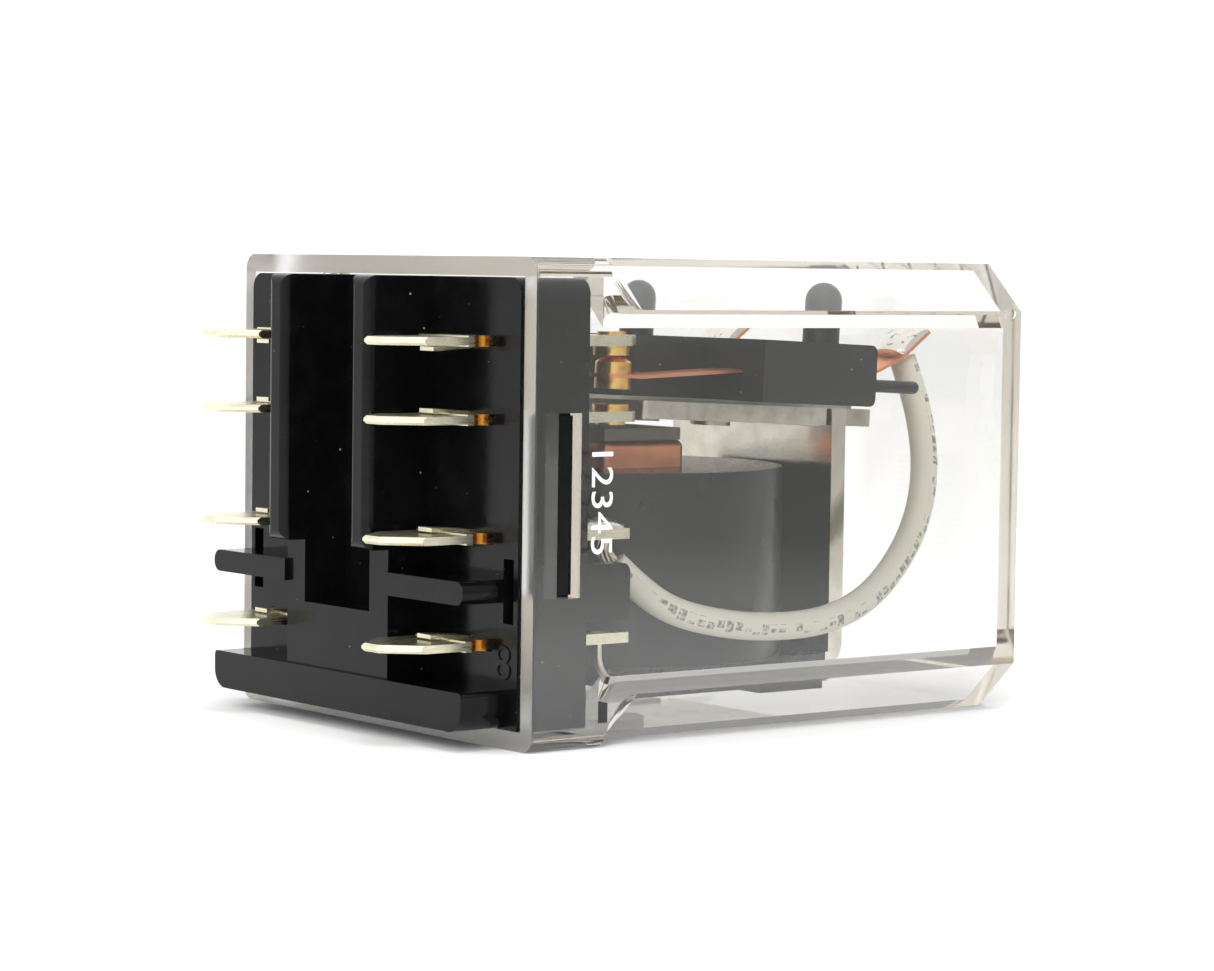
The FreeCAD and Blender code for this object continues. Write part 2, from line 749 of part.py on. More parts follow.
def make_armature():
    """Steel flap with a necked tail that rocks between the ears of the yoke."""
    body = new_body("armature")
    neck = "yoke_x - neck_play - fit_gap"
    outline = [
        ("armature_start", "-armature_half"), (neck, "-armature_half"), (neck, "-neck_half"),
        ("armature_end", "-neck_half"), ("armature_end", "-hook_slot / 2"),
        ("armature_end - hook_slot", "-hook_slot / 2"), ("armature_end - hook_slot", "hook_slot / 2"),
        ("armature_end", "hook_slot / 2"), ("armature_end", "neck_half"),
        (neck, "neck_half"), (neck, "armature_half"), ("armature_start", "armature_half"),
    ]
    pad(body, sketch(body, "XY_Plane", [outline], lift="armature_low"), "armature_thick")
    holes = [("pin_x", "%d * pin_y" % s, "pin_radius") for s in SIDES.values()]
    pocket(body, sketch(body, "XY_Plane", circles=holes))
    start = amount_of("armature_start") + 0.01
    soften(body, "Fillet", "carrier_round", lambda middle, way: abs(way.z) > 0.99 and middle.x < start)
    settle("armature", body, moving=True)


def make_armature_plate():
    body = new_body("armature_plate")
    outline = [
        ("plate_start", "-plate_half"), ("plate_end - 1", "-plate_half"), ("plate_end", "1 - plate_half"),
        ("plate_end", "plate_half - 1"), ("plate_end - 1", "plate_half"), ("plate_start", "plate_half"),
    ]
    pad(body, sketch(body, "XY_Plane", [outline], lift="armature_low + armature_thick"), "plate_thick")
    holes = [("pin_x", "%d * pin_y" % s, "pin_radius") for s in SIDES.values()]
    pocket(body, sketch(body, "XY_Plane", circles=holes))
    settle("armature_plate", body, moving=True)


def make_carrier_rivets():
    pins = []
    for side, s in SIDES.items():
        y = "%d * pin_y" % s
        head = rod("pin_head_" + side, "z", ("pin_x", y, "armature_low - pin_head_high"), "pin_head",
                   "pin_head_high")
        shank = rod("pin_" + side, "z", ("pin_x", y, "armature_low"), "pin_radius",
                    "armature_thick + plate_thick + pin_depth")
        pins.append(joined("carrier_rivet_" + side, [head, shank]))
    doc.recompute()
    group = solid_feature("carrier_rivets", Part.makeCompound([pin.Shape.copy() for pin in pins]))
    settle("carrier_rivets", group, moving=True)


# ---------------------------------------------------------------- yoke and coil

def make_yoke():
    """L-shaped steel frame: foot on the base's boss, upright with two ears, lug for the spring."""
    body = new_body("yoke")
    outer = "(yoke_x + yoke_thick)"
    foot_top = "(yoke_low + yoke_thick)"
    outline = [
        ("foot_start", "yoke_low"), (outer, "yoke_low"), (outer, "yoke_high"), ("yoke_x", "yoke_high"),
        ("yoke_x", foot_top), ("foot_start", foot_top),
    ]
    pad(body, sketch(body, "XZ_Plane", [outline]), "2 * yoke_half", both_ways=True)
    corner = Vector(amount_of(outer), 0, amount_of("yoke_low"))
    soften(body, "Fillet", "bend_round",
           lambda middle, way: abs(way.y) > 0.99
                   and Vector(middle.x, 0, middle.z).distanceToPoint(corner) < 0.01)
    trims = []
    for s in (-1, 1):
        trims.append([
            ("foot_start - 1", "%d * foot_half" % s), ("yoke_x - 2", "%d * foot_half" % s),
            ("yoke_x - 0.3", "%d * yoke_half" % s), ("yoke_x - 0.3", "%d * (yoke_half + 2)" % s),
            ("foot_start - 1", "%d * (yoke_half + 2)" % s),
        ])
    holes = [("coil_x", "0", "tenon_radius")]
    holes += [("screw_x", "%d * screw_y" % s, "screw_radius") for s in SIDES.values()]
    pocket(body, sketch(body, "XY_Plane", trims, holes))
    gap = "(neck_half + neck_play)"
    slot = [
        ("-" + gap, "armature_low - hinge_play"), (gap, "armature_low - hinge_play"),
        (gap, "yoke_high + 1"), ("-" + gap, "yoke_high + 1"),
    ]
    pocket(body, sketch(body, "YZ_Plane", [slot]))
    lug = [
        (outer + " - 0.3", "lug_level"), (outer + " + lug_reach", "lug_level"),
        (outer + " + lug_reach", "lug_level + lug_thick"), (outer + " - 0.3", "lug_level + lug_thick"),
    ]
    pad(body, sketch(body, "XZ_Plane", [lug]), "2 * lug_half", both_ways=True)
    settle("yoke", body)


def make_core():
    """Round steel core, staked through the yoke, with a stem in the ring and a pole face on top."""
    base_top = "(yoke_low + yoke_thick)"
    pole_top = "(armature_low - pole_gap)"
    tenon = rod("core_tenon", "z", ("coil_x", "0", "yoke_low"), "tenon_radius", "yoke_thick")
    stake = rod("core_stake", "z", ("coil_x", "0", "yoke_low - tenon_head_high"), "tenon_head",
                "tenon_head_high")
    shaft = rod("core_shaft", "z", ("coil_x", "0", base_top), "core_radius", "flange_top - " + base_top)
    stem_half = "(ring_length / 2 - ring_wall)"
    deep = "(ring_half - ring_wall)"
    stem = block("core_stem", ("ring_x - " + stem_half, "ring_x + " + stem_half), ("-" + deep, deep),
                 ("flange_top - 0.5", "flange_top + ring_high"))
    stem_keep = rod("core_stem_keep", "z", ("coil_x", "0", "flange_top - 0.5"), "core_radius", "0.5")
    foot = doc.addObject("Part::Common", "core_stem_foot")
    foot.Base = stem
    foot.Tool = stem_keep
    upper_stem = block("core_upper_stem", ("ring_x - " + stem_half, "ring_x + " + stem_half),
                       ("-" + deep, deep),
                       ("flange_top", "flange_top + ring_high"))
    wide = "(ring_length / 2 - pole_lip)"
    pole = block("core_pole", ("ring_x - " + wide, "ring_x + " + wide),
                 ("pole_lip - ring_half", "ring_half - pole_lip"),
                 ("flange_top + ring_high", pole_top))
    settle("core", joined("core", [tenon, stake, shaft, foot, upper_stem, pole]))


def make_shading_ring():
    """Thick copper ring between the bobbin's flange and the pole face."""
    body = new_body("shading_ring")
    out_x = "ring_length / 2"
    in_x = "(ring_length / 2 - ring_wall)"
    in_y = "(ring_half - ring_wall)"

    def rectangle(x, y):
        return [("ring_x - " + x, "-" + y), ("ring_x + " + x, "-" + y), ("ring_x + " + x, y),
                ("ring_x - " + x, y)]

    drawing = sketch(body, "XY_Plane", [rectangle(out_x, "ring_half"), rectangle(in_x, in_y)],
                     lift="flange_top")
    pad(body, drawing, "ring_high")
    middle_x = amount_of("ring_x")
    reach = amount_of(out_x) - 0.01
    deep = amount_of("ring_half") - 0.01
    soften(body, "Fillet", "ring_round",
           lambda middle, way: abs(way.z) > 0.99
           and abs(middle.x - middle_x) > reach and abs(middle.y) > deep)
    top = amount_of("flange_top + ring_high") - 0.01
    soften(body, "Fillet", "ring_edge",
           lambda middle, way: middle.z > top and (abs(middle.y) > deep or abs(middle.x - middle_x) > reach))
    settle("shading_ring", body)


def make_bobbin():
    """Ivory coil former: tube, two flanges and two feet beside the yoke's foot."""
    low = "(yoke_low + yoke_thick)"
    tube = rod("bobbin_tube", "z", ("coil_x", "0", low), "core_radius + tube_wall", "flange_top - " + low)
    top = rod("bobbin_top", "z", ("coil_x", "0", "flange_top - flange_thick"), "coil_radius", "flange_thick")
    bottom = rod("bobbin_bottom", "z", ("coil_x", "0", low), "coil_radius", "coil_foot_thick")
    pieces = [tube, top, bottom]
    for side, s in SIDES.items():
        span = ("foot_half + 0.3", "foot_wide") if s > 0 else ("-foot_wide", "-foot_half - 0.3")
        pieces.append(block("bobbin_foot_" + side, ("foot_from", "foot_to"), span,
                            ("foot_level", low + " + 0.2")))
        pieces.append(block("bobbin_lug_" + side, ("foot_to", "lug_to"), span, ("lug_low", low + " + 0.2")))
    bore = rod("bobbin_bore", "z", ("coil_x", "0", low + " - 1"), "core_radius", "flange_top")
    settle("bobbin", cut_by("bobbin", joined("bobbin_body", pieces), [bore]))


def ring_between(name, inner, outer, low, height):
    outside = rod(name + "_outside", "z", ("coil_x", "0", low), outer, height)
    inside = rod(name + "_inside", "z", ("coil_x", "0", low + " - 1"), inner, height + " + 2")
    return cut_by(name, outside, [inside])


def make_winding():
    low = "(yoke_low + yoke_thick + coil_foot_thick)"
    winding = ring_between("winding", "core_radius + tube_wall", "coil_radius - winding_play", low,
                           "flange_top - flange_thick - " + low)
    settle("winding", winding)
    tape = ring_between("coil_tape", "coil_radius", "coil_radius + tape_thick", "tape_low",
                        "(flange_top - tape_low)")
    settle("coil_tape", tape)


def make_frame_screws():
    """Two slotted pan-head screws that hold the yoke's foot to the base."""
    screws = []
    top = "(yoke_low + yoke_thick)"
    for side, s in SIDES.items():
        y = "%d * screw_y" % s
        head = rod("screw_head_" + side, "z", ("screw_x", y, top), "screw_head", "screw_head_high")
        crown = amount_of(top + " + screw_head_high") - 0.01
        head = rounded("screw_crown_" + side, head, "end_round", lambda middle, way: True)
        head.Edges = [(i, amount_of("end_round"), amount_of("end_round"))
                      for i, edge in enumerate(head.Base.Shape.Edges, start=1)
                      if edge.BoundBox.ZMin > crown]
        shank = rod("screw_shank_" + side, "z", ("screw_x", y, "yoke_low - screw_depth"), "screw_radius",
                    "screw_depth + yoke_thick")
        slot = block("screw_slot_" + side, ("screw_x - screw_head", "screw_x + screw_head"),
                     (y + " - screw_slot / 2", y + " + screw_slot / 2"),
                     (top + " + screw_head_high / 2", top + " + 2 * screw_head_high"))
        screws.append(cut_by("frame_screw_" + side, joined("screw_body_" + side, [head, shank]), [slot]))
    doc.recompute()
    settle("frame_screws", solid_feature("frame_screws",
                                         Part.makeCompound([screw.Shape.copy() for screw in screws])))


def make_return_spring():
    """Close-wound extension spring behind the yoke, hooked on its lug and on the armature's tail."""
    radius = amount_of("spring_radius")
    wire = amount_of("spring_wire") / 2
    low = amount_of("spring_low")
    high = amount_of("spring_low + spring_pitch * spring_turns")
    axis_x = amount_of("yoke_x + yoke_thick + spring_gap + spring_radius + spring_wire / 2")
    drop = (axis_x - amount_of("hinge_x")) * math.sin(math.radians(amount_of("open_angle")))
    top = amount_of("armature_low + armature_thick + plate_thick") + wire - drop
    bottom = amount_of("lug_level") - wire
    helix = Part.makeHelix(amount_of("spring_pitch"), high - low, radius)
    section = Part.Wire([Part.Circle(Vector(radius, 0, 0), Vector(0, 1, 0), wire).toShape()])
    coil = helix.makePipeShell([section], True, True)
    coil.translate(Vector(0, 0, low))
    pieces = []
    for start, end in ((bottom, low), (high, top)):
        pieces.append(Part.makeCylinder(wire, end - start, Vector(radius, 0, start)))
    for level in (bottom, top):
        reach = amount_of("spring_hook")
        pieces.append(Part.makeCylinder(wire, reach, Vector(radius - reach, 0, level), Vector(1, 0, 0)))
    for level in (bottom, low, high, top):
        pieces.append(Part.makeSphere(wire, Vector(radius, 0, level)))
    spring = solid_feature("return_spring", coil.fuse(pieces).removeSplitter())
    spring.Placement = Placement(Vector(axis_x, 0, 0), Rotation())
    settle("return_spring", spring)


# ---------------------------------------------------------------- leads and solder

def route_wire(points):
    """Straight runs joined by tangent arcs, each as large as its two runs allow, and the arcs' radii."""
    edges = []
    radii = []
    start = points[0]
    for before, corner, after in zip(points, points[1:], points[2:]):
        back = before - corner
        ahead = after - corner
        shorter = min(back.Length, ahead.Length)
        half_turn = (math.pi - back.getAngle(ahead)) / 2
        reach = 0.45 * shorter
        radii.append(reach / math.tan(half_turn))
        back.normalize()
        ahead.normalize()
        enter = corner + back * reach
        leave = corner + ahead * reach
        middle_way = (back + ahead).normalize()
        centre_far = radii[-1] / math.cos(half_turn)
        middle = corner + middle_way * (centre_far - radii[-1])
        edges.append(Part.LineSegment(start, enter).toShape())
        edges.append(Part.Arc(enter, middle, leave).toShape())
        start = leave
    edges.append(Part.LineSegment(start, points[-1]).toShape())
    return Part.Wire(edges), radii


def tube(name, route, s, radius):
    """A round solid along a route, mirrored to the side s, with its volume compared with its length."""
    points = [Vector(x, -s * y, z) for x, y, z in route]
    wire, radii = route_wire(points)
    size = amount_of(radius)
    first = points[1] - points[0]
    ring = Part.Wire([Part.Circle(points[0], first, size).toShape()])
    shape = wire.makePipeShell([ring], True, False)
    true_volume = math.pi * size ** 2 * wire.Length
    print("%s: length %.1f mm, radii %s, volume ratio %.4f" % (
        name, wire.Length, ", ".join("%.1f" % r for r in radii), shape.Volume / true_volume))
    return shape


def make_leads():
    for side, s in SIDES.items():
        lead = "lead_wire_" + side
        settle(lead, solid_feature(lead, tube(lead, LEAD_ROUTE, s, "lead_radius")))
        strands = "lead_strands_" + side
        settle(strands, solid_feature(strands, tube(strands, STRAND_ROUTE, s, "strand_radius")))
        coil_wire = "coil_wire_" + side
        settle(coil_wire, solid_feature(coil_wire, tube(coil_wire, COIL_WIRE_ROUTE, s, "coil_wire_radius")))


def lump(name, long, wide, high, pitch, x, y, z):
    """Crowned solder over a rectangle of half-sizes long and wide, on a face that slopes up by pitch."""
    drop = doc.addObject("Part::Ellipsoid", name)
    drop.setExpression("Radius1", bound(high))
    drop.setExpression("Radius2", bound("solder_spread * " + long))
    drop.setExpression("Radius3", bound("solder_spread * " + wide))
    field = block(name + "_field", ("-" + long, long), ("-" + wide, wide), ("0", high))
    spread = doc.addObject("Part::Common", name + "_spread")
    spread.Base = drop
    spread.Tool = field
    doc.recompute()
    spread.Placement = Placement(Vector(x, y, z), Rotation(Vector(0, 1, 0), -pitch))
    return spread


def make_solder():
    """Solder on top of each strip's tail and of each common terminal's tongue."""
    slope = amount_of("second_slope")
    along = amount_of("strip_end_x - strip_knee_x") / 2
    knee = amount_of(KNEE_LEVEL)
    angle = math.radians(slope)
    top = knee + along * math.tan(angle) + amount_of("strip_thick") / math.cos(angle)
    on_tail = amount_of("strip_knee_x") + along
    tongue_top = amount_of("row_com + blade_thick / 2")
    tongue_y = amount_of("column + wire_hole_y")
    hole_x = amount_of("wire_hole_x")
    for side, s in SIDES.items():
        drop = lump("tail_drop_" + side, "tail_solder_long", "tail_solder_wide", "solder_high", slope,
                    on_tail, s * amount_of("column"), top)
        settle("tail_solder_" + side, drop, moving=True)
        drop = lump("common_drop_" + side, "tongue_solder_long", "tongue_solder_wide", "solder_high", 0,
                    hole_x - 0.6, s * tongue_y, tongue_top)
        settle("common_solder_" + side, drop)


make_cover()
make_base()
make_terminals()
for side_name, side_sign in SIDES.items():
    make_contact_blade("contact_blade_" + side_name, side_sign)
    make_moving_contact("moving_contact_" + side_name, side_sign)
make_carrier()
make_armature()
make_armature_plate()
make_carrier_rivets()
make_yoke()
make_core()
make_shading_ring()
make_bobbin()
make_winding()
make_frame_screws()
make_return_spring()
make_leads()
make_solder()

doc.recompute()
faults = [item.Name for item in doc.Objects if "Invalid" in item.State or "Error" in item.State]
faults += [node.Label for node in nodes if node.Shape.isNull() or not node.Shape.isValid()]
if faults:
    raise RuntimeError("failed pieces: " + ", ".join(faults))

os.makedirs("parts", exist_ok=True)
for node in nodes:
    node.Shape.exportStep("parts/%s.step" % node.Label)
print("%d nodes" % len(nodes))
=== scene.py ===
import math

import bmesh
import bpy
from mathutils import Matrix, Vector


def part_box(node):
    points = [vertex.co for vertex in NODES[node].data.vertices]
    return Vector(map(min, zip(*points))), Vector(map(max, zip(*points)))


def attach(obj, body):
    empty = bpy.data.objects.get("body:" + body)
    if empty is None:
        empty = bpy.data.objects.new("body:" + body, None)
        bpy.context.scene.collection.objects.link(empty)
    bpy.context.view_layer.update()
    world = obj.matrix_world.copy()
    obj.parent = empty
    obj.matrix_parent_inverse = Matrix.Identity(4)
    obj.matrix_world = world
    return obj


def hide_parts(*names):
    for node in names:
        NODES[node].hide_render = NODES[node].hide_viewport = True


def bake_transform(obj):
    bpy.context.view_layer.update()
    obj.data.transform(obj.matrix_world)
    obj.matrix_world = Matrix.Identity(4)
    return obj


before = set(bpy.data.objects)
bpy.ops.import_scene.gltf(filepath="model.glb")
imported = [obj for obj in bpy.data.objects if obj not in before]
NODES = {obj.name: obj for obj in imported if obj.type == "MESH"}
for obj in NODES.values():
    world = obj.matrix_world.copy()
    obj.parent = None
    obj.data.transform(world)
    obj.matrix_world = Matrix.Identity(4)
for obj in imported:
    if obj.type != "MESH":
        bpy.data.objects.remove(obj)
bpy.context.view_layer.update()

# A two-pole plug-in relay in a clear dust cover, lying on one long side.
# Sizes are in metres unless a comment says millimetres, and in the frame of the CAD model: x from the
# blades to the closed end of the cover, y from the near side to the far side, z up.

bl_info = {
    "name": "Plug-in relay",
    "version": (1, 0, 0),
    "blender": (4, 5, 0),
    "location": "View3D > Sidebar > Relay",
    "description": "Finishes, leads, solder and markings of a plug-in relay around its CAD model",
    "category": "Object",
}


def linear(code):
    """Linear colour of an sRGB hex code."""
    channels = [int(code[i:i + 2], 16) / 255 for i in (0, 2, 4)]
    return tuple(c / 12.92 if c <= 0.04045 else ((c + 0.055) / 1.055) ** 2.4 for c in channels) + (1.0,)


def per_mm(size):
    """Scale of a texture on Object coordinates whose cells are this many millimetres."""
    return 1000 / size


MM = 0.001
FIXED = "frame"
COVER_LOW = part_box("cover")[0]
SIDES = {"front": -1, "rear": 1}
ORIGIN = Matrix()
DOUBLES = 0.001 * MM

# The blades stand in two columns this far from the middle, and are notched this far outside the cover.
BLADE_COLUMN = 11.1 * MM
NOTCH_OUT = 1.0 * MM

# Axes of text that reads down the cover's near wall, and across the base as seen from the blades' side.
ON_NEAR_WALL = Matrix(((0, 1, 0, 0), (0, 0, -1, 0), (-1, 0, 0, 0), (0, 0, 0, 1)))
ON_BASE = Matrix(((0, 0, -1, 0), (-1, 0, 0, 0), (0, 1, 0, 0), (0, 0, 0, 1)))
CODE_FOOT = (COVER_LOW.x + 5.15 * MM, COVER_LOW.y - 0.005 * MM, COVER_LOW.z + 21.65 * MM)
NUMBER_FOOT = (COVER_LOW.x - 0.27 * MM, -15.25 * MM, 5.05 * MM)
NUMBER_LENGTH = 1.9 * MM

# Half the thickness of the printed digits and of the moulded number.
INK_DEPTH = 0.02 * MM
NUMBER_DEPTH = 0.12 * MM

# Sides of the leads' and the strands' tubes, strands laid round the middle one, and the length of one lay.
LEAD_SIDES = 32
STRAND_SIDES = 10
OUTER_STRANDS = 8
STRAND_LAY = 9 * MM

# Marks printed on a lead, in millimetres on its UV map: their pitch along it, the height of their rows
# round it, and the middle of their band, counted from the map's seam.
MARK_PITCH = 0.85
MARK_ROW = 0.3
MARK_CENTRE = 3.4

# A Mix node's sockets for colours: the factor, the colours at 0 and at 1, and the output.
FACTOR, FIRST, SECOND, MIXED = 0, 6, 7, 2

# Distance between the bands of a Wave texture whose scale is 1, and the millimetres between the turns drawn
# on the winding.
WAVE_PERIOD = 2 * math.pi / 20
DRAWN_TURNS = 0.8 * math.pi

# The floor's card: it is white up to the first distance in this direction and grey from the second on, a
# painted shade that dims the floor where the cover's near wall mirrors it.
CARD_SIZE = 6.0
CARD_WHITE = linear("F4F4F4")
CARD_PAINTED_SHADE = linear("ACACAA")
NEAR_RIGHT = (0.61, -0.79, 0.0)
PAINTED_SHADE_FROM, PAINTED_SHADE_TO = 0.065, 0.2

# The surroundings are brightest in this direction.
BRIGHT_SIDE = (-0.3, 0.7, 0.65)

# Lamps aimed at the relay: place, size, and power in watts.
AIM = (0, 0, 0.015)
LAMPS = {
    "key_lamp": ((-0.12, -0.22, 0.55), (0.14, 0.14), 0.9),
    "side_lamp": ((-0.5, 0.12, 0.3), (0.1, 0.25), 0.5),
    "front_lamp": ((-0.3, -0.26, 0.2), (0.16, 0.16), 0.6),
}

# Most bounces of light, enough for the cover's clear walls and what they mirror.
BOUNCES = 40

# The camera's place, the directions to its right and ahead of it, the width of its sensor in millimetres,
# and the nearest distance it shows.
CAMERA_PLACE = (-0.167175, -0.21695, 0.0350)
CAMERA_RIGHT = (0.7896, -0.6136, 0.0134)
CAMERA_AHEAD = (0.6131, 0.7875, -0.0630)
SENSOR_WIDTH = 36.0
NEAREST = 0.01

# Routes of the front lead and of its bare strands, in millimetres, as in the CAD model. The rear ones are
# their mirror images.
LEAD_ROUTE = [
    (-8.575, -13.5, 12.9),
    (-6.775, -14.4, 10.9),
    (-4.175, -15.45, 9.1),
    (0.725, -15.95, 8.0),
    (5.525, -15.95, 7.6),
    (10.425, -15.95, 7.8),
    (14.625, -15.95, 9.2),
    (18.225, -15.45, 11.8),
    (21.425, -14.45, 15.2),
    (23.225, -13.3, 19.1),
    (23.625, -12.3, 22.6),
    (23.225, -11.6, 25.6),
    (22.425, -11.2, 28.0),
]
STRAND_ROUTE = [
    (-8.575, -13.5, 12.9),
    (-9.475, -13.05, 13.9),
    (-9.575, -13.275, 14.8),
    (-9.575, -13.275, 15.6),
]


# ---------------------------------------------------------------- settings

class CoverSettings(bpy.types.PropertyGroup):
    tint: bpy.props.FloatVectorProperty(
        name="Tint", description="Colour of the clear cover", subtype="COLOR", size=4, min=0, max=1,
        default=linear("FCFCFB"))
    depth_tint: bpy.props.FloatVectorProperty(
        name="Depth tint", description="Colour of the cover where it is seen edge on", subtype="COLOR",
        size=4, min=0, max=1, default=linear("C6BCA8"))
    roughness: bpy.props.FloatProperty(
        name="Roughness", description="Roughness of the moulded faces", subtype="FACTOR", min=0, max=1,
        default=0.02)
    code: bpy.props.StringProperty(
        name="Code", description="Plain digits printed on the cover's near wall", default="12345")
    code_height: bpy.props.FloatProperty(
        name="Code height", description="Height of the printed digits", unit="LENGTH", default=1.95 * MM)
    code_length: bpy.props.FloatProperty(
        name="Code length", description="Length of the row of digits", unit="LENGTH", default=7.45 * MM)


class BaseSettings(bpy.types.PropertyGroup):
    colour: bpy.props.FloatVectorProperty(
        name="Base colour", description="Colour of the black moulding", subtype="COLOR", size=4, min=0, max=1,
        default=linear("0A0A0B"))
    number: bpy.props.StringProperty(
        name="Number", description="Plain number moulded beside the near coil blade", default="8")
    number_height: bpy.props.FloatProperty(
        name="Number height", description="Height of the moulded number", unit="LENGTH", default=2.6 * MM)


class MetalSettings(bpy.types.PropertyGroup):
    tin: bpy.props.FloatVectorProperty(
        name="Tin", description="Colour of the tinned blades", subtype="COLOR", size=4, min=0, max=1,
        default=linear("EAE5CC"))
    gold: bpy.props.FloatVectorProperty(
        name="Gold", description="Colour of the contacts", subtype="COLOR", size=4, min=0, max=1,
        default=linear("FFD479"))
    copper: bpy.props.FloatVectorProperty(
        name="Copper", description="Colour of the strips and the ring", subtype="COLOR", size=4, min=0, max=1,
        default=linear("FAAD82"))
    plate: bpy.props.FloatVectorProperty(
        name="Zinc plate", description="Colour of the plated steel", subtype="COLOR", size=4, min=0, max=1,
        default=linear("D8D3C7"))


class CoilSettings(bpy.types.PropertyGroup):
    tape: bpy.props.FloatVectorProperty(
        name="Tape", description="Colour of the coil's tape", subtype="COLOR", size=4, min=0, max=1,
        default=linear("0F1414"))
    bobbin: bpy.props.FloatVectorProperty(
        name="Bobbin", description="Colour of the bobbin", subtype="COLOR", size=4, min=0, max=1,
        default=linear("121313"))


class LeadSettings(bpy.types.PropertyGroup):
    insulation: bpy.props.FloatVectorProperty(
        name="Insulation", description="Colour of the leads", subtype="COLOR", size=4, min=0, max=1,
        default=linear("FFFCEB"))
    diameter: bpy.props.FloatProperty(
        name="Lead diameter", description="Outside diameter of each lead", unit="LENGTH", default=2.16 * MM)
    strand_bundle: bpy.props.FloatProperty(
        name="Strand bundle", description="Diameter of the bare strands together", unit="LENGTH",
        default=1.2 * MM)


class StageSettings(bpy.types.PropertyGroup):
    back_light: bpy.props.FloatProperty(
        name="Backdrop light", description="Strength of the light from behind the relay", min=0, default=1.25)
    front_light: bpy.props.FloatProperty(
        name="Room light", description="Strength of the light from the camera's side", min=0, default=0.6)
    lens: bpy.props.FloatProperty(
        name="Lens", description="Focal length of the camera, in millimetres", subtype="DISTANCE_CAMERA",
        min=10, default=102.45)


SETTINGS = {
    "relay_cover": CoverSettings,
    "relay_base": BaseSettings,
    "relay_metals": MetalSettings,
    "relay_coil": CoilSettings,
    "relay_leads": LeadSettings,
    "relay_stage": StageSettings,
}


# ---------------------------------------------------------------- materials

def add(tree, kind, inputs, out=0):
    """Add a node and give one of its outputs. Settings and sockets go by name; a socket may take a link."""
    node = tree.nodes.new("ShaderNode" + kind)
    for name, value in inputs.items():
        if isinstance(value, bpy.types.NodeSocket):
            tree.links.new(value, node.inputs[name])
        elif isinstance(name, str) and hasattr(node, name):
            setattr(node, name, value)
        else:
            node.inputs[name].default_value = value
    return node.outputs[out]


def new_material(name, colour, **values):
    """A Principled material with its shader and its Object coordinates."""
    material = bpy.data.materials.new(name)
    material.use_nodes = True
    tree = material.node_tree
    shader = tree.nodes["Principled BSDF"]
    shader.inputs["Base Color"].default_value = colour
    for socket, value in values.items():
        shader.inputs[socket.replace("_", " ")].default_value = value
    return material, tree, shader, add(tree, "TexCoord", {}, "Object")


def feed(shader, **sources):
    """Link the outputs of nodes to the shader's sockets."""
    for socket, source in sources.items():
        shader.id_data.links.new(source, shader.inputs[socket.replace("_", " ")])


def dust(tree, place, spacing, size):
    """Mask of round specks, one in each cell of this spacing and up to this radius, in millimetres."""
    distance = add(tree, "TexVoronoi", {"Vector": place, "Scale": per_mm(spacing)}, "Distance")
    chance = add(tree, "SeparateColor", {"Color": distance.node.outputs["Color"]}, "Red")
    radius = add(tree, "MapRange", {"Value": chance, "To Max": size / spacing})
    inside = add(tree, "Math", {"operation": "SUBTRACT", 0: radius, 1: distance})
    return add(tree, "MapRange", {"Value": inside, "From Max": 0.15 * size / spacing})


def clear_polycarbonate(settings):
    """Polycarbonate, injection moulded: clear and glossy, frosted on the cut rim, faintly brown in depth."""
    material, tree, shader, place = new_material(
        "clear_polycarbonate", settings.tint, IOR=1.585, Transmission_Weight=1.0,
        Roughness=settings.roughness)
    waves = add(tree, "TexNoise", {"Vector": place, "Scale": per_mm(9.0), "Detail": 1.0})
    along = add(tree, "SeparateXYZ", {"Vector": place}, "X")
    frosted = add(tree, "MapRange", {
        "Value": along, "From Min": COVER_LOW.x + 0.02 * MM, "From Max": COVER_LOW.x + 0.4 * MM,
        "To Min": 0.4, "To Max": settings.roughness})
    rippled = add(tree, "Bump", {"Height": waves, "Distance": 0.02 * MM, "Strength": 0.25})
    feed(shader, Roughness=frosted, Normal=rippled)
    depth = add(tree, "VolumeAbsorption", {"Color": settings.depth_tint, "Density": 24.0})
    tree.links.new(depth, tree.nodes["Material Output"].inputs["Volume"])
    return material


def black_phenolic(settings):
    """Black phenolic, pressed in a polished mould: glossy, slightly wavy, with pale dust in places."""
    material, tree, shader, place = new_material(
        "black_phenolic", settings.colour, IOR=1.5, Specular_IOR_Level=0.16)
    grain = add(tree, "TexNoise", {"Vector": place, "Scale": per_mm(0.5), "Detail": 3.0})
    waves = add(tree, "TexNoise", {"Vector": place, "Scale": per_mm(4.0), "Detail": 3.0})
    clouds = add(tree, "TexNoise", {"Vector": place, "Scale": per_mm(2.5), "Detail": 3.0})
    gloss = add(tree, "MapRange", {
        "Value": waves, "From Min": 0.3, "From Max": 0.7, "To Min": 0.1, "To Max": 0.2})
    paler = add(tree, "MapRange", {"Value": clouds, "From Min": 0.45, "From Max": 0.75})
    faded = add(tree, "Mix", {
        "data_type": "RGBA", FACTOR: paler, FIRST: settings.colour, SECOND: linear("101112")}, MIXED)
    specks = dust(tree, place, 1.3, 0.1)
    dusty = add(tree, "Mix", {
        "data_type": "RGBA", FACTOR: specks, FIRST: faded, SECOND: linear("97896C")}, MIXED)
    uneven = add(tree, "Bump", {"Height": grain, "Distance": 0.008 * MM, "Strength": 0.5})
    feed(shader, Base_Color=dusty, Roughness=gloss, Normal=uneven)
    return material


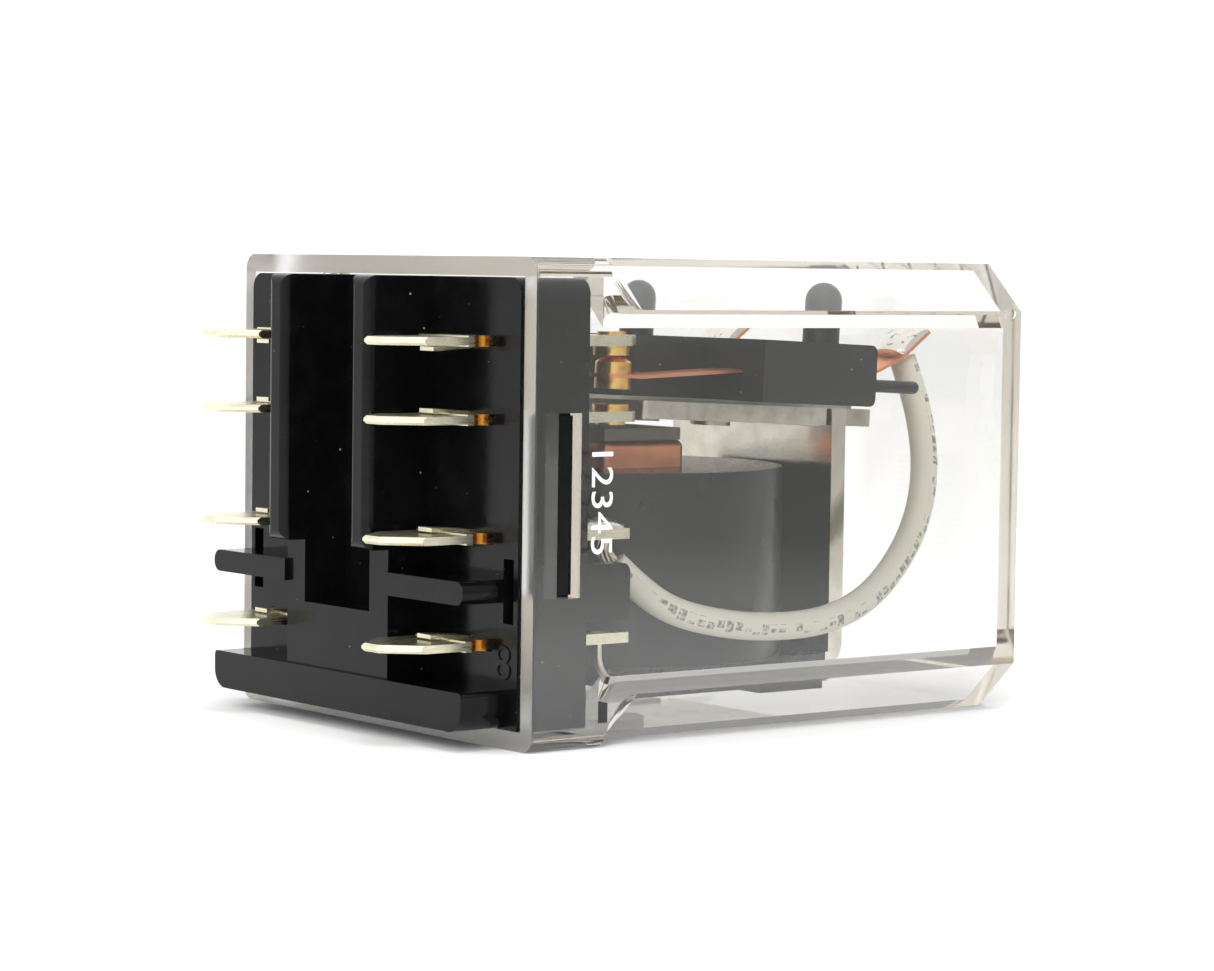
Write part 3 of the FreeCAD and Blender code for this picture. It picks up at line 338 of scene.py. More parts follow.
def black_nylon():
    """Glass-filled black nylon: satin, with a fine flow grain, fine scratches and dust."""
    black = linear("242626")
    material, tree, shader, place = new_material("black_nylon", black, IOR=1.53)
    grain = add(tree, "TexNoise", {"Vector": place, "Scale": per_mm(0.25), "Detail": 3.0})
    drawn = add(tree, "Mapping", {"Vector": place, "Scale": (0.12, 1.0, 1.0)})
    scratches = add(tree, "TexNoise", {"Vector": drawn, "Scale": per_mm(0.18), "Detail": 2.0})
    gloss = add(tree, "MapRange", {
        "Value": scratches, "From Min": 0.35, "From Max": 0.7, "To Min": 0.34, "To Max": 0.52})
    marks = add(tree, "MapRange", {"Value": scratches, "From Min": 0.66, "From Max": 0.8, "To Max": 0.35})
    scuffed = add(tree, "Mix", {
        "data_type": "RGBA", FACTOR: marks, FIRST: black, SECOND: linear("6E6F6B")}, MIXED)
    specks = dust(tree, place, 1.1, 0.08)
    dusty = add(tree, "Mix", {
        "data_type": "RGBA", FACTOR: specks, FIRST: scuffed, SECOND: linear("B4B3AA")}, MIXED)
    uneven = add(tree, "Bump", {"Height": grain, "Distance": 0.012 * MM, "Strength": 0.6})
    feed(shader, Base_Color=dusty, Roughness=gloss, Normal=uneven)
    return material


def tinned_brass(settings):
    """Brass strip, rolled, tinned and stamped: warm silver with rolling streaks, raw brass in its notches."""
    material, tree, shader, place = new_material("tinned_brass", settings.tin, Metallic=1.0)
    drawn = add(tree, "Mapping", {"Vector": place, "Scale": (0.08, 1.0, 1.0)})
    streaks = add(tree, "TexNoise", {"Vector": drawn, "Scale": per_mm(0.12), "Detail": 3.0})
    blotches = add(tree, "TexNoise", {"Vector": place, "Scale": per_mm(1.8), "Detail": 3.0})
    gloss = add(tree, "MapRange", {
        "Value": streaks, "From Min": 0.3, "From Max": 0.7, "To Min": 0.22, "To Max": 0.4})
    x = add(tree, "SeparateXYZ", {"Vector": place}, "X")
    across = add(tree, "Math", {"operation": "ABSOLUTE", 0: x.node.outputs["Y"]})
    from_notch = add(tree, "Math", {"operation": "SUBTRACT", 0: x, 1: COVER_LOW.x - NOTCH_OUT})
    from_middle = add(tree, "Math", {"operation": "SUBTRACT", 0: across, 1: BLADE_COLUMN})
    off_notch = add(tree, "Math", {"operation": "ABSOLUTE", 0: from_notch})
    off_middle = add(tree, "Math", {"operation": "ABSOLUTE", 0: from_middle})
    near_notch = add(tree, "MapRange", {
        "Value": off_notch, "From Min": 0.62 * MM, "From Max": 0.68 * MM, "To Min": 1.0, "To Max": 0.0})
    near_edge = add(tree, "MapRange", {"Value": off_middle, "From Min": 2.4 * MM, "From Max": 2.46 * MM})
    raw = add(tree, "Math", {"operation": "MULTIPLY", 0: near_notch, 1: near_edge})
    dull = add(tree, "MapRange", {"Value": blotches, "From Min": 0.4, "From Max": 0.7, "To Max": 0.6})
    tin = add(tree, "Mix", {
        "data_type": "RGBA", FACTOR: dull, FIRST: settings.tin, SECOND: linear("CCC6AE")}, MIXED)
    notched = add(tree, "Mix", {
        "data_type": "RGBA", FACTOR: raw, FIRST: tin, SECOND: linear("A66E2A")}, MIXED)
    rolled = add(tree, "Bump", {"Height": streaks, "Distance": 0.006 * MM, "Strength": 0.6})
    feed(shader, Base_Color=notched, Roughness=gloss, Normal=rolled)
    return material


def gold_contact(settings):
    """Gold-plated silver rivet, headed cold: soft gold with small dents and browner patches."""
    material, tree, shader, place = new_material("gold_contact", settings.gold, Metallic=1.0)
    dents = add(tree, "TexNoise", {"Vector": place, "Scale": per_mm(0.35), "Detail": 3.0})
    patches = add(tree, "TexNoise", {"Vector": place, "Scale": per_mm(0.9), "Detail": 3.0})
    gloss = add(tree, "MapRange", {
        "Value": dents, "From Min": 0.3, "From Max": 0.7, "To Min": 0.26, "To Max": 0.46})
    brown = add(tree, "MapRange", {"Value": patches, "From Min": 0.45, "From Max": 0.7, "To Max": 0.5})
    worn = add(tree, "Mix", {
        "data_type": "RGBA", FACTOR: brown, FIRST: settings.gold, SECOND: linear("A8641E")}, MIXED)
    dented = add(tree, "Bump", {"Height": dents, "Distance": 0.06 * MM, "Strength": 0.7})
    feed(shader, Base_Color=worn, Roughness=gloss, Normal=dented)
    return material


def copper(settings, name, darkening, size):
    """Copper, cut from strip: pinkish, browned in places, with streaks of this size in millimetres."""
    material, tree, shader, place = new_material(name, settings.copper, Metallic=1.0)
    drawn = add(tree, "Mapping", {"Vector": place, "Scale": (0.15, 1.0, 1.0)})
    streaks = add(tree, "TexNoise", {"Vector": drawn, "Scale": per_mm(size), "Detail": 3.0})
    patches = add(tree, "TexNoise", {"Vector": place, "Scale": per_mm(1.5), "Detail": 3.0})
    gloss = add(tree, "MapRange", {
        "Value": streaks, "From Min": 0.3, "From Max": 0.7, "To Min": 0.28, "To Max": 0.46})
    brown = add(tree, "MapRange", {
        "Value": patches, "From Min": 0.35, "From Max": 0.7, "To Min": darkening / 2, "To Max": darkening})
    aged = add(tree, "Mix", {
        "data_type": "RGBA", FACTOR: brown, FIRST: settings.copper, SECOND: linear("8A3F24")}, MIXED)
    rolled = add(tree, "Bump", {"Height": streaks, "Distance": 0.01 * MM, "Strength": 0.5})
    feed(shader, Base_Color=aged, Roughness=gloss, Normal=rolled)
    return material


def zinc_plated_steel(settings):
    """Steel stamping, bright plated: mirrors what is next to it, with soft cloudy patches and small pits."""
    material, tree, shader, place = new_material("zinc_plated_steel", settings.plate, Metallic=1.0)
    clouds = add(tree, "TexNoise", {"Vector": place, "Scale": per_mm(2.2), "Detail": 3.0})
    pits = add(tree, "TexNoise", {"Vector": place, "Scale": per_mm(0.22), "Detail": 3.0})
    gloss = add(tree, "MapRange", {
        "Value": clouds, "From Min": 0.3, "From Max": 0.7, "To Min": 0.1, "To Max": 0.22})
    dull = add(tree, "MapRange", {"Value": clouds, "From Min": 0.35, "From Max": 0.7, "To Max": 0.5})
    cloudy = add(tree, "Mix", {
        "data_type": "RGBA", FACTOR: dull, FIRST: settings.plate, SECOND: linear("A8A297")}, MIXED)
    pitted = add(tree, "Bump", {"Height": pits, "Distance": 0.012 * MM, "Strength": 0.6})
    feed(shader, Base_Color=cloudy, Roughness=gloss, Normal=pitted)
    return material


def tumbled_steel(settings):
    """Thick steel stamping, tumbled and then plated: satin, with a fine stipple and duller hollows."""
    material, tree, shader, place = new_material("tumbled_steel", settings.plate, Metallic=1.0)
    stipple = add(tree, "TexNoise", {"Vector": place, "Scale": per_mm(0.3), "Detail": 3.0})
    hollows = add(tree, "TexNoise", {"Vector": place, "Scale": per_mm(1.2), "Detail": 3.0})
    dull = add(tree, "MapRange", {"Value": hollows, "From Min": 0.4, "From Max": 0.7, "To Max": 0.4})
    gloss = add(tree, "MapRange", {
        "Value": stipple, "From Min": 0.3, "From Max": 0.7, "To Min": 0.36, "To Max": 0.5})
    hollowed = add(tree, "Mix", {
        "data_type": "RGBA", FACTOR: dull, FIRST: settings.plate, SECOND: linear("9C9282")}, MIXED)
    stippled = add(tree, "Bump", {"Height": stipple, "Distance": 0.018 * MM, "Strength": 0.7})
    feed(shader, Base_Color=hollowed, Roughness=gloss, Normal=stippled)
    return material


def lined_metal(name, colour, stretch, size, gloss_range, depth, strength):
    """Bare metal with fine lines drawn out along the axis whose stretch is small; sizes in millimetres."""
    material, tree, shader, place = new_material(name, linear(colour), Metallic=1.0)
    drawn = add(tree, "Mapping", {"Vector": place, "Scale": stretch})
    lines = add(tree, "TexNoise", {"Vector": drawn, "Scale": per_mm(size), "Detail": 3.0})
    low, high = gloss_range
    gloss = add(tree, "MapRange", {
        "Value": lines, "From Min": 0.3, "From Max": 0.7, "To Min": low, "To Max": high})
    feed(shader, Roughness=gloss,
         Normal=add(tree, "Bump", {"Height": lines, "Distance": depth * MM, "Strength": strength}))
    return material


def spring_steel():
    """Rolled spring steel: cool grey with fine lines along the strip."""
    return lined_metal("spring_steel", "B9B6AD", (0.06, 1.0, 1.0), 0.12, (0.25, 0.42), 0.006, 0.5)


def ground_iron():
    """Soft iron, ground on its pole face: darker and rougher than the plated parts."""
    return lined_metal("ground_iron", "77736C", (1.0, 0.1, 1.0), 0.15, (0.34, 0.5), 0.01, 0.6)


def bobbin_nylon(settings):
    """Black nylon, moulded smooth: glossy, and pale where it is seen at a low angle."""
    material, tree, shader, place = new_material("bobbin_nylon", settings.bobbin, IOR=1.53)
    grain = add(tree, "TexNoise", {"Vector": place, "Scale": per_mm(0.4), "Detail": 3.0})
    gloss = add(tree, "MapRange", {
        "Value": grain, "From Min": 0.3, "From Max": 0.7, "To Min": 0.18, "To Max": 0.3})
    feed(shader, Roughness=gloss,
         Normal=add(tree, "Bump", {"Height": grain, "Distance": 0.01 * MM, "Strength": 0.5}))
    return material


def polyester_tape(settings):
    """Black polyester tape wound round the coil: smooth, with soft ridges from the turns below."""
    material, tree, shader, place = new_material(
        "polyester_tape", settings.tape, IOR=1.6, Specular_IOR_Level=0.35)
    drawn = add(tree, "Mapping", {"Vector": place, "Scale": (0.35, 0.35, 1.0)})
    sags = add(tree, "TexNoise", {"Vector": drawn, "Scale": per_mm(1.6), "Detail": 1.0})
    clouds = add(tree, "TexNoise", {"Vector": place, "Scale": per_mm(3.0), "Detail": 3.0})
    gloss = add(tree, "MapRange", {
        "Value": clouds, "From Min": 0.3, "From Max": 0.7, "To Min": 0.26, "To Max": 0.38})
    specks = dust(tree, place, 2.2, 0.06)
    dusty = add(tree, "Mix", {
        "data_type": "RGBA", FACTOR: specks, FIRST: settings.tape, SECOND: linear("A9A89F")}, MIXED)
    ridged = add(tree, "Bump", {"Height": sags, "Distance": 0.05 * MM, "Strength": 0.5})
    feed(shader, Base_Color=dusty, Roughness=gloss, Normal=ridged)
    return material


def enamelled_copper():
    """Copper wire with a clear enamel coat, in close turns 0.16 mm apart, drawn 2.5 mm apart to show."""
    material, tree, shader, place = new_material(
        "enamelled_copper", linear("B5653C"), Metallic=1.0, Roughness=0.3, Coat_Weight=0.6,
        Coat_Roughness=0.1)
    turns = add(tree, "TexWave", {
        "bands_direction": "Z", "Vector": place, "Scale": WAVE_PERIOD * per_mm(DRAWN_TURNS)}, "Fac")
    feed(shader, Normal=add(tree, "Bump", {"Height": turns, "Distance": 0.06 * MM, "Strength": 0.8}))
    return material


def printed_marks(tree, place):
    """Mask of broken rows of small marks along a lead's near side, worn in places."""
    round_lead = add(tree, "SeparateXYZ", {"Vector": add(tree, "UVMap", {"uv_map": "UVMap"})}, "X")
    along_lead = round_lead.node.outputs["Y"]
    column = add(tree, "Math", {"operation": "MULTIPLY", 0: along_lead, 1: 1 / MARK_PITCH})
    row = add(tree, "Math", {"operation": "MULTIPLY", 0: round_lead, 1: 1 / MARK_ROW})
    cell = add(tree, "CombineXYZ", {
        "X": add(tree, "Math", {"operation": "FLOOR", 0: column}),
        "Y": add(tree, "Math", {"operation": "FLOOR", 0: row})})
    chance = add(tree, "TexWhiteNoise", {"noise_dimensions": "2D", "Vector": cell}, "Value")
    mask = add(tree, "MapRange", {"Value": chance, "From Min": 0.44, "From Max": 0.46})
    within = add(tree, "Math", {"operation": "FRACT", 0: column})
    off_centre = add(tree, "Math", {"operation": "SUBTRACT", 0: round_lead, 1: MARK_CENTRE})
    spots = add(tree, "TexNoise", {"Vector": place, "Scale": per_mm(0.3), "Detail": 3.0})
    limits = (
        {"Value": within, "From Min": 0.72, "From Max": 0.76, "To Min": 1.0, "To Max": 0.0},
        {"Value": add(tree, "Math", {"operation": "ABSOLUTE", 0: off_centre}),
         "From Min": 0.42, "From Max": 0.46, "To Min": 1.0, "To Max": 0.0},
        {"Value": spots, "From Min": 0.4, "From Max": 0.55, "To Min": 0.15, "To Max": 0.85},
    )
    for limit in limits:
        mask = add(tree, "Math", {"operation": "MULTIPLY", 0: mask, 1: add(tree, "MapRange", limit)})
    return mask


def lead_insulation(settings):
    """Silicone or PVC insulation, extruded: off-white and satin, with pale grey printed marks."""
    material, tree, shader, place = new_material(
        "lead_insulation", settings.insulation, IOR=1.46, Subsurface_Weight=0.15,
        Subsurface_Scale=0.8 * MM)
    printed = add(tree, "Mix", {
        "data_type": "RGBA", FACTOR: printed_marks(tree, place), FIRST: settings.insulation,
        SECOND: linear("7C7C78")}, MIXED)
    skin = add(tree, "TexNoise", {"Vector": place, "Scale": per_mm(0.5), "Detail": 3.0})
    gloss = add(tree, "MapRange", {
        "Value": skin, "From Min": 0.3, "From Max": 0.7, "To Min": 0.36, "To Max": 0.48})
    feed(shader, Base_Color=printed, Roughness=gloss,
         Normal=add(tree, "Bump", {"Height": skin, "Distance": 0.01 * MM, "Strength": 0.4}))
    return material


def tinned_strand():
    """Tinned copper strand, drawn: bright silver with a warm cast where the tin is thin."""
    silver = linear("CFC9BC")
    material, tree, shader, place = new_material("tinned_strand", silver, Metallic=1.0, Roughness=0.28)
    patches = add(tree, "TexNoise", {"Vector": place, "Scale": per_mm(0.5), "Detail": 3.0})
    thin = add(tree, "MapRange", {"Value": patches, "From Min": 0.5, "From Max": 0.7, "To Max": 0.6})
    warm = add(tree, "Mix", {
        "data_type": "RGBA", FACTOR: thin, FIRST: silver, SECOND: linear("BE8E70")}, MIXED)
    feed(shader, Base_Color=warm)
    return material


def bright_solder():
    """Tin-lead solder, set from the melt: bright and lumpy, with a few dull spots of flux."""
    bright = linear("EFEDE6")
    material, tree, shader, place = new_material("bright_solder", bright, Metallic=1.0)
    lumps = add(tree, "TexNoise", {"Vector": place, "Scale": per_mm(0.9), "Detail": 3.0})
    spots = add(tree, "TexNoise", {"Vector": place, "Scale": per_mm(0.8), "Detail": 3.0})
    flux = add(tree, "MapRange", {"Value": spots, "From Min": 0.62, "From Max": 0.68, "To Max": 0.9})
    gloss = add(tree, "MapRange", {
        "Value": lumps, "From Min": 0.3, "From Max": 0.7, "To Min": 0.2, "To Max": 0.4})
    stained = add(tree, "Mix", {
        "data_type": "RGBA", FACTOR: flux, FIRST: bright, SECOND: linear("8A6A44")}, MIXED)
    lumpy = add(tree, "Bump", {"Height": lumps, "Distance": 0.12 * MM, "Strength": 0.8})
    feed(shader, Base_Color=stained, Roughness=gloss, Normal=lumpy)
    return material


def white_ink():
    """White screen ink: flat and a little uneven."""
    material, tree, shader, place = new_material("white_ink", linear("F2F2F0"), Roughness=0.55)
    patches = add(tree, "TexNoise", {"Vector": place, "Scale": per_mm(0.3), "Detail": 3.0})
    feed(shader, Roughness=add(tree, "MapRange", {
        "Value": patches, "From Min": 0.3, "From Max": 0.7, "To Min": 0.45, "To Max": 0.65}))
    return material


def finish(material, *names):
    """Give CAD nodes their finished material."""
    for name in names:
        for slot in NODES[name].material_slots:
            slot.material = material


def both(*names):
    """Names of the front and the rear node of each kind."""
    return [name + "_" + side for name in names for side in SIDES]


# ---------------------------------------------------------------- modelling

def start_clear():
    """Leave edit mode and select nothing."""
    if bpy.context.object and bpy.context.object.mode != "OBJECT":
        bpy.ops.object.mode_set(mode="OBJECT")
    bpy.ops.object.select_all(action="DESELECT")


def name_piece(name, material):
    """Name the object that was just made and give it its one material."""
    piece = bpy.context.object
    piece.name = piece.data.name = name
    piece.data.materials.clear()
    piece.data.materials.append(material)
    return piece


def settle(piece, place=ORIGIN):
    """Put a piece's place into its mesh, so that its object stays at the origin."""
    piece.data.transform(place @ piece.matrix_world)
    piece.matrix_world = Matrix()
    piece.data.update()


def raised_text(name, words, height, length, depth, place, material):
    """Digits as a thin mesh, fitted to a height and a length, with their foot at the place's origin."""
    start_clear()
    bpy.ops.object.text_add()
    text = bpy.context.object
    text.data.body = words
    text.data.extrude = depth
    text.data.resolution_u = 3
    bpy.ops.object.convert(target="MESH")
    piece = name_piece(name, material)
    corners = [vertex.co for vertex in piece.data.vertices]
    low = Vector(min(c[i] for c in corners) for i in range(3))
    high = Vector(max(c[i] for c in corners) for i in range(3))
    fit = Matrix.Diagonal((length / (high.x - low.x), height / (high.y - low.y), 1.0, 1.0))
    piece.data.transform(fit @ Matrix.Translation((-low.x, -low.y, 0)))
    settle(piece, place)
    mesh = bmesh.new()
    mesh.from_mesh(piece.data)
    bmesh.ops.remove_doubles(mesh, verts=mesh.verts, dist=DOUBLES)
    bmesh.ops.recalc_face_normals(mesh, faces=mesh.faces)
    mesh.to_mesh(piece.data)
    mesh.free()
    return piece


def smooth_line(points):
    """Points of one smooth NURBS spline that has these control points."""
    curve = bpy.data.curves.new("route", "CURVE")
    curve.dimensions = "3D"
    curve.resolution_u = 10
    spline = curve.splines.new("NURBS")
    spline.points.add(len(points) - 1)
    for control, point in zip(spline.points, points):
        control.co = (*point, 1.0)
    spline.order_u = 3
    spline.use_endpoint_u = True
    holder = bpy.data.objects.new("route", curve)
    bpy.context.scene.collection.objects.link(holder)
    mesh = bpy.data.meshes.new_from_object(holder)
    line = [vertex.co.copy() for vertex in mesh.vertices]
    bpy.data.objects.remove(holder)
    bpy.data.meshes.remove(mesh)
    bpy.data.curves.remove(curve)
    return line


def cross_frames(line):
    """Two directions across the line at each point, carried along it without twist."""
    frames = []
    across = None
    for i, point in enumerate(line):
        along = (line[min(i + 1, len(line) - 1)] - line[max(i - 1, 0)]).normalized()
        if across is None:
            across = along.cross(Vector((0, 0, 1))).normalized()
        across = (across - along * across.dot(along)).normalized()
        frames.append((across, along.cross(across)))
    return frames


def add_tube(mesh, line, radius, sides, layer):
    """Closed round tube along a line, with its UVs in millimetres round and along it."""
    angles = [2 * math.pi * k / sides - math.pi for k in range(sides)]
    rings = []
    run = 0.0
    runs = []
    for i, (point, (across, up)) in enumerate(zip(line, cross_frames(line))):
        run += (point - line[i - 1]).length if i else 0.0
        runs.append(run / MM)
        corners = [point + radius * (math.cos(a) * across + math.sin(a) * up) for a in angles]
        rings.append([mesh.verts.new(corner) for corner in corners])
    girth = 2 * math.pi * radius / MM
    for i in range(len(rings) - 1):
        for k in range(sides):
            n = (k + 1) % sides
            face = mesh.faces.new((rings[i][k], rings[i][n], rings[i + 1][n], rings[i + 1][k]))
            face.smooth = True
            marks = [(k, i), (k + 1, i), (k + 1, i + 1), (k, i + 1)]
            for loop, (turn, step) in zip(face.loops, marks):
                loop[layer].uv = (girth * turn / sides, runs[step])
    mesh.faces.new(rings[0][::-1])
    mesh.faces.new(rings[-1])


def tube_piece(name, lines, radius, sides, material):
    """One piece of round tubes along these lines."""
    data = bpy.data.meshes.new(name)
    mesh = bmesh.new()
    layer = mesh.loops.layers.uv.new("UVMap")
    for line in lines:
        add_tube(mesh, line, radius, sides, layer)
    bmesh.ops.recalc_face_normals(mesh, faces=mesh.faces)
    mesh.to_mesh(data)
    mesh.free()
    piece = bpy.data.objects.new(name, data)
    bpy.context.scene.collection.objects.link(piece)
    data.materials.append(material)
    return piece


def on_side(route, side):
    """Points of a route in metres, mirrored for the rear side."""
    return [Vector((x, -SIDES[side] * y, z)) * MM for x, y, z in route]


def twisted(line, radius, count, lay):
    """Lines of strands laid round a middle line, one turn in each length of lay."""
    strands = [line]
    frames = cross_frames(line)
    for k in range(count):
        strand = []
        run = 0.0
        for i, (point, (across, up)) in enumerate(zip(line, frames)):
            run += (point - line[i - 1]).length if i else 0.0
            angle = 2 * math.pi * (k / count + run / lay)
            strand.append(point + radius * (math.cos(angle) * across + math.sin(angle) * up))
        strands.append(strand)
    return strands


# ---------------------------------------------------------------- operators

class RELAY_OT_cover(bpy.types.Operator):
    """Clear dust cover with a row of plain digits printed on its near wall"""
    bl_idname = "relay.cover"
    bl_label = "Dust cover"

    def execute(self, context):
        settings = context.scene.relay_cover
        finish(clear_polycarbonate(settings), "cover")
        code = raised_text("printed_digits", settings.code, settings.code_height, settings.code_length,
                           INK_DEPTH, Matrix.Translation(CODE_FOOT) @ ON_NEAR_WALL, white_ink())
        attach(code, FIXED)
        return {"FINISHED"}


class RELAY_OT_base(bpy.types.Operator):
    """Black plug base and the carrier, with a plain number moulded beside the near coil blade"""
    bl_idname = "relay.base"
    bl_label = "Base and carrier"

    def execute(self, context):
        settings = context.scene.relay_base
        phenolic = black_phenolic(settings)
        finish(phenolic, "base")
        finish(black_nylon(), "carrier")
        number = raised_text("moulded_number", settings.number, settings.number_height, NUMBER_LENGTH,
                             NUMBER_DEPTH, Matrix.Translation(NUMBER_FOOT) @ ON_BASE, phenolic)
        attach(number, FIXED)
        return {"FINISHED"}


class RELAY_OT_terminals(bpy.types.Operator):
    """Tinned blades, gold contacts and the copper strips between them"""
    bl_idname = "relay.terminals"
    bl_label = "Blades and contacts"

    def execute(self, context):
        settings = context.scene.relay_metals
        blades = both("nc_terminal", "no_terminal", "common_terminal", "coil_terminal")
        finish(tinned_brass(settings), *blades)
        finish(gold_contact(settings), *both("nc_contact", "no_contact", "moving_contact"))
        finish(copper(settings, "rolled_copper", 0.2, 0.1), *both("contact_blade"))
        return {"FINISHED"}


class RELAY_OT_magnet(bpy.types.Operator):
    """Yoke, armature, core, copper ring, spring, screws and rivets"""
    bl_idname = "relay.magnet"
    bl_label = "Magnet"

    def execute(self, context):
        settings = context.scene.relay_metals
        finish(zinc_plated_steel(settings), "yoke")
        finish(tumbled_steel(settings), "armature", "frame_screws", "carrier_rivets")
        steel = spring_steel()
        finish(steel, "armature_plate", "return_spring")
        self.add_spring(steel)
        finish(ground_iron(), "core")
        finish(copper(settings, "sawn_copper", 0.3, 0.3), "shading_ring")
        return {"FINISHED"}

    def add_spring(self, steel):
        """Copy of the spring as one welded, smooth-shaded mesh, left in its place while the CAD spring is
        hidden.
        """
        source = NODES["return_spring"]
        spring = bpy.data.objects.new("extension_spring", source.data.copy())
        bpy.context.scene.collection.objects.link(spring)
        start_clear()
        spring.select_set(True)
        bpy.context.view_layer.objects.active = spring
        name_piece("extension_spring", steel)
        settle(spring, source.matrix_world)
        bpy.ops.object.mode_set(mode="EDIT")
        bpy.ops.mesh.select_all(action="SELECT")
        bpy.ops.mesh.remove_doubles(threshold=DOUBLES)
        bpy.ops.object.mode_set(mode="OBJECT")
        bpy.ops.object.shade_smooth_by_angle(angle=math.radians(40))
        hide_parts("return_spring")
        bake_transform(spring)


class RELAY_OT_coil(bpy.types.Operator):
    """Bobbin, winding, tape and the ends of the coil's wire"""
    bl_idname = "relay.coil"
    bl_label = "Coil"

    def execute(self, context):
        settings = context.scene.relay_coil
        finish(bobbin_nylon(settings), "bobbin")
        finish(polyester_tape(settings), "coil_tape")
        finish(enamelled_copper(), "winding")
        finish(tinned_strand(), *both("coil_wire"))
        return {"FINISHED"}


class RELAY_OT_leads(bpy.types.Operator):
    """Two flexible leads with bare ends, and the solder that holds them"""
    bl_idname = "relay.leads"
    bl_label = "Leads"

    def execute(self, context):
        settings = context.scene.relay_leads
        insulation = lead_insulation(settings)
        strand = tinned_strand()
        for side in SIDES:
            self.add_lead(settings, side, insulation)
            self.add_strands(settings, side, strand)
        finish(bright_solder(), *both("tail_solder", "common_solder"))
        return {"FINISHED"}

    def add_lead(self, settings, side, insulation):
        line = smooth_line(on_side(LEAD_ROUTE, side))
        radius = settings.diameter / 2
        lead = tube_piece("lead_insulation_" + side, [line], radius, LEAD_SIDES, insulation)
        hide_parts("lead_wire_" + side)
        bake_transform(lead)

    def add_strands(self, settings, side, strand):
        line = smooth_line(on_side(STRAND_ROUTE, side))
        lay_radius = settings.strand_bundle * 0.34
        strand_radius = settings.strand_bundle * 0.15
        lines = twisted(line, lay_radius, OUTER_STRANDS, STRAND_LAY)
        bundle = tube_piece("bare_strands_" + side, lines, strand_radius, STRAND_SIDES, strand)
        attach(bundle, FIXED)
        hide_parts("lead_strands_" + side)


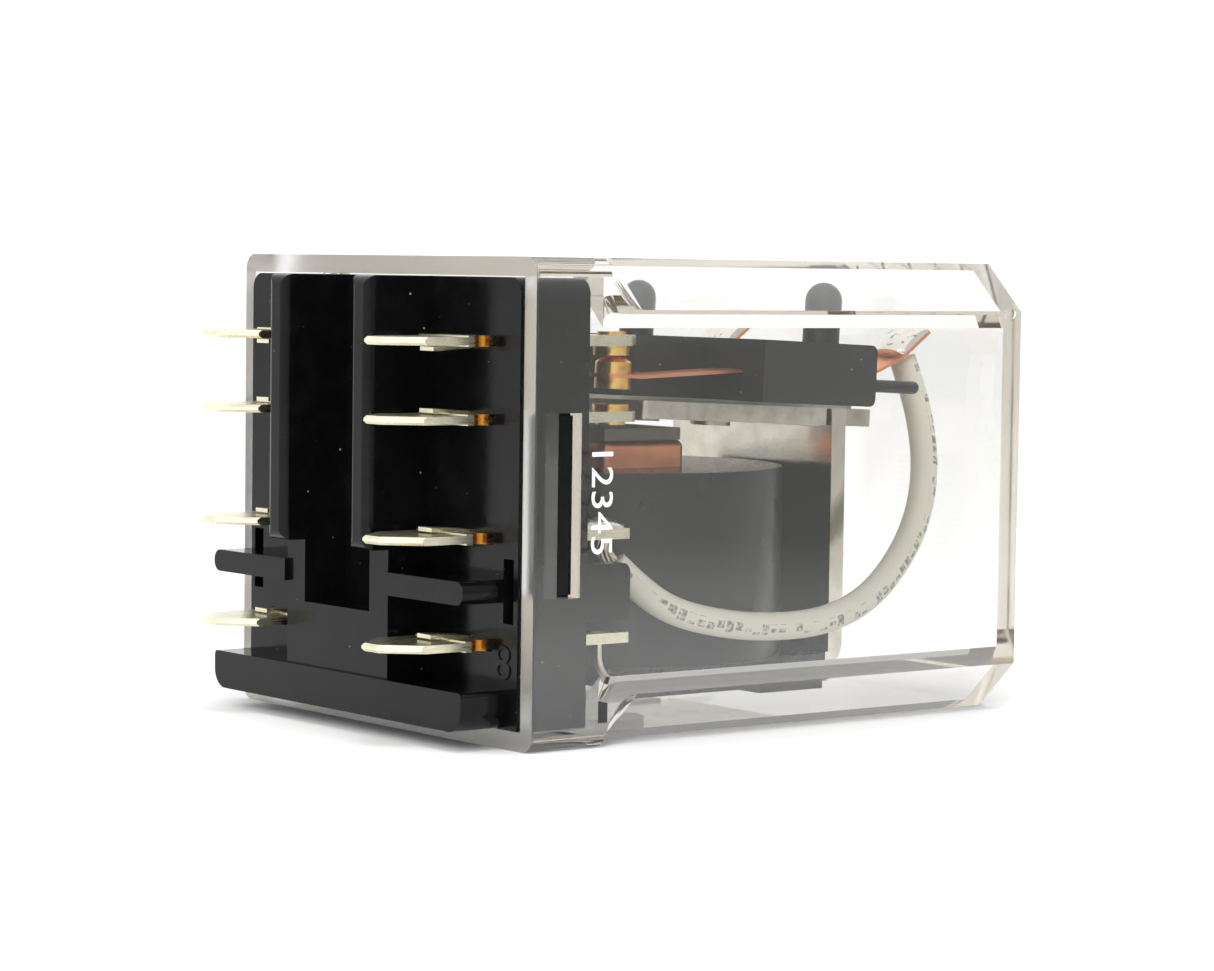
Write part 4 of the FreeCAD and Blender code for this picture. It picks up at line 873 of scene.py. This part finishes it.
class RELAY_OT_stage(bpy.types.Operator):
    """Pale floor, soft light and the camera"""
    bl_idname = "relay.stage"
    bl_label = "Stage"

    def execute(self, context):
        settings = context.scene.relay_stage
        scene = context.scene
        scene.view_settings.view_transform = "Standard"
        for kind in ("max_bounces", "glossy_bounces", "transmission_bounces"):
            setattr(scene.cycles, kind, BOUNCES)
        self.add_floor()
        self.add_world(settings)
        self.add_lights()
        self.add_camera(settings)
        return {"FINISHED"}

    def add_floor(self):
        """White card with painted shade: pale grey at the near right, where the cover's near wall mirrors it.
        """
        start_clear()
        bpy.ops.mesh.primitive_plane_add(size=CARD_SIZE)
        material, tree, shader, place = new_material("white_card", CARD_WHITE, Roughness=0.7)
        # Painted shade: the card turns grey towards the near right, standing in for the dimmer room on that
        # side as the cover's near wall mirrors it.
        distance = add(tree, "VectorMath", {"operation": "DOT_PRODUCT", 0: place, 1: NEAR_RIGHT}, "Value")
        grey = add(tree, "MapRange", {"Value": distance, "From Min": PAINTED_SHADE_FROM, "From Max": PAINTED_SHADE_TO})
        shaded = add(tree, "Mix", {
            "data_type": "RGBA", FACTOR: grey, FIRST: CARD_WHITE, SECOND: CARD_PAINTED_SHADE}, MIXED)
        grain = add(tree, "TexNoise", {"Vector": place, "Scale": per_mm(0.6), "Detail": 3.0})
        feed(shader, Base_Color=shaded,
             Normal=add(tree, "Bump", {"Height": grain, "Distance": 0.01 * MM, "Strength": 0.3}))
        name_piece("floor", material)

    def add_world(self, settings):
        """White surroundings: bright behind, above and at the blades' side, dim at the near right."""
        world = bpy.data.worlds.new("studio")
        bpy.context.scene.world = world
        world.use_nodes = True
        tree = world.node_tree
        direction = add(tree, "TexCoord", {}, "Generated")
        facing = add(tree, "VectorMath", {"operation": "DOT_PRODUCT", 0: direction, 1: BRIGHT_SIDE}, "Value")
        strength = add(tree, "MapRange", {
            "Value": facing, "From Min": -0.75, "From Max": 0.2, "To Min": settings.front_light,
            "To Max": settings.back_light})
        background = tree.nodes["Background"]
        background.inputs["Color"].default_value = linear("FFFFFF")
        feed(background, Strength=strength)

    def add_lights(self):
        for name, (place, size, power) in LAMPS.items():
            start_clear()
            bpy.ops.object.light_add(type="AREA", location=place)
            lamp = bpy.context.object
            lamp.name = name
            lamp.data.shape = "RECTANGLE"
            lamp.data.size, lamp.data.size_y = size
            lamp.data.energy = power
            ahead = Vector(AIM) - Vector(place)
            lamp.rotation_euler = ahead.to_track_quat("-Z", "Y").to_euler()

    def add_camera(self, settings):
        start_clear()
        bpy.ops.object.camera_add()
        camera = bpy.context.object
        right = Vector(CAMERA_RIGHT).normalized()
        ahead = Vector(CAMERA_AHEAD).normalized()
        up = right.cross(ahead).normalized()
        turn = Matrix((ahead.cross(up), up, -ahead)).transposed()
        camera.matrix_world = Matrix.Translation(CAMERA_PLACE) @ turn.to_4x4()
        camera.data.lens = settings.lens
        camera.data.sensor_width = SENSOR_WIDTH
        camera.data.clip_start = NEAREST
        bpy.context.scene.camera = camera


class RELAY_PT_parts(bpy.types.Panel):
    """Lists the relay's groups of pieces and their settings"""
    bl_idname = "RELAY_PT_parts"
    bl_label = "Plug-in relay"
    bl_space_type = "VIEW_3D"
    bl_region_type = "UI"
    bl_category = "Relay"

    def draw(self, context):
        for operator in OPERATORS:
            self.layout.operator(operator.bl_idname)
        for name, group in SETTINGS.items():
            column = self.layout.column(heading=group.__name__.replace("Settings", ""))
            for prop in group.__annotations__:
                column.prop(getattr(context.scene, name), prop)


OPERATORS = [
    RELAY_OT_stage,
    RELAY_OT_leads,
    RELAY_OT_cover,
    RELAY_OT_base,
    RELAY_OT_terminals,
    RELAY_OT_magnet,
    RELAY_OT_coil,
]


def register():
    for group in SETTINGS.values():
        bpy.utils.register_class(group)
    for name, group in SETTINGS.items():
        setattr(bpy.types.Scene, name, bpy.props.PointerProperty(type=group))
    for operator in OPERATORS:
        bpy.utils.register_class(operator)
    bpy.utils.register_class(RELAY_PT_parts)


def unregister():
    bpy.utils.unregister_class(RELAY_PT_parts)
    for operator in reversed(OPERATORS):
        bpy.utils.unregister_class(operator)
    for name in SETTINGS:
        delattr(bpy.types.Scene, name)
    for group in reversed(list(SETTINGS.values())):
        bpy.utils.unregister_class(group)


def main():
    register()
    for operator in OPERATORS:
        category, action = operator.bl_idname.split(".")
        getattr(getattr(bpy.ops, category), action)()


if __name__ == "__main__":
    main()
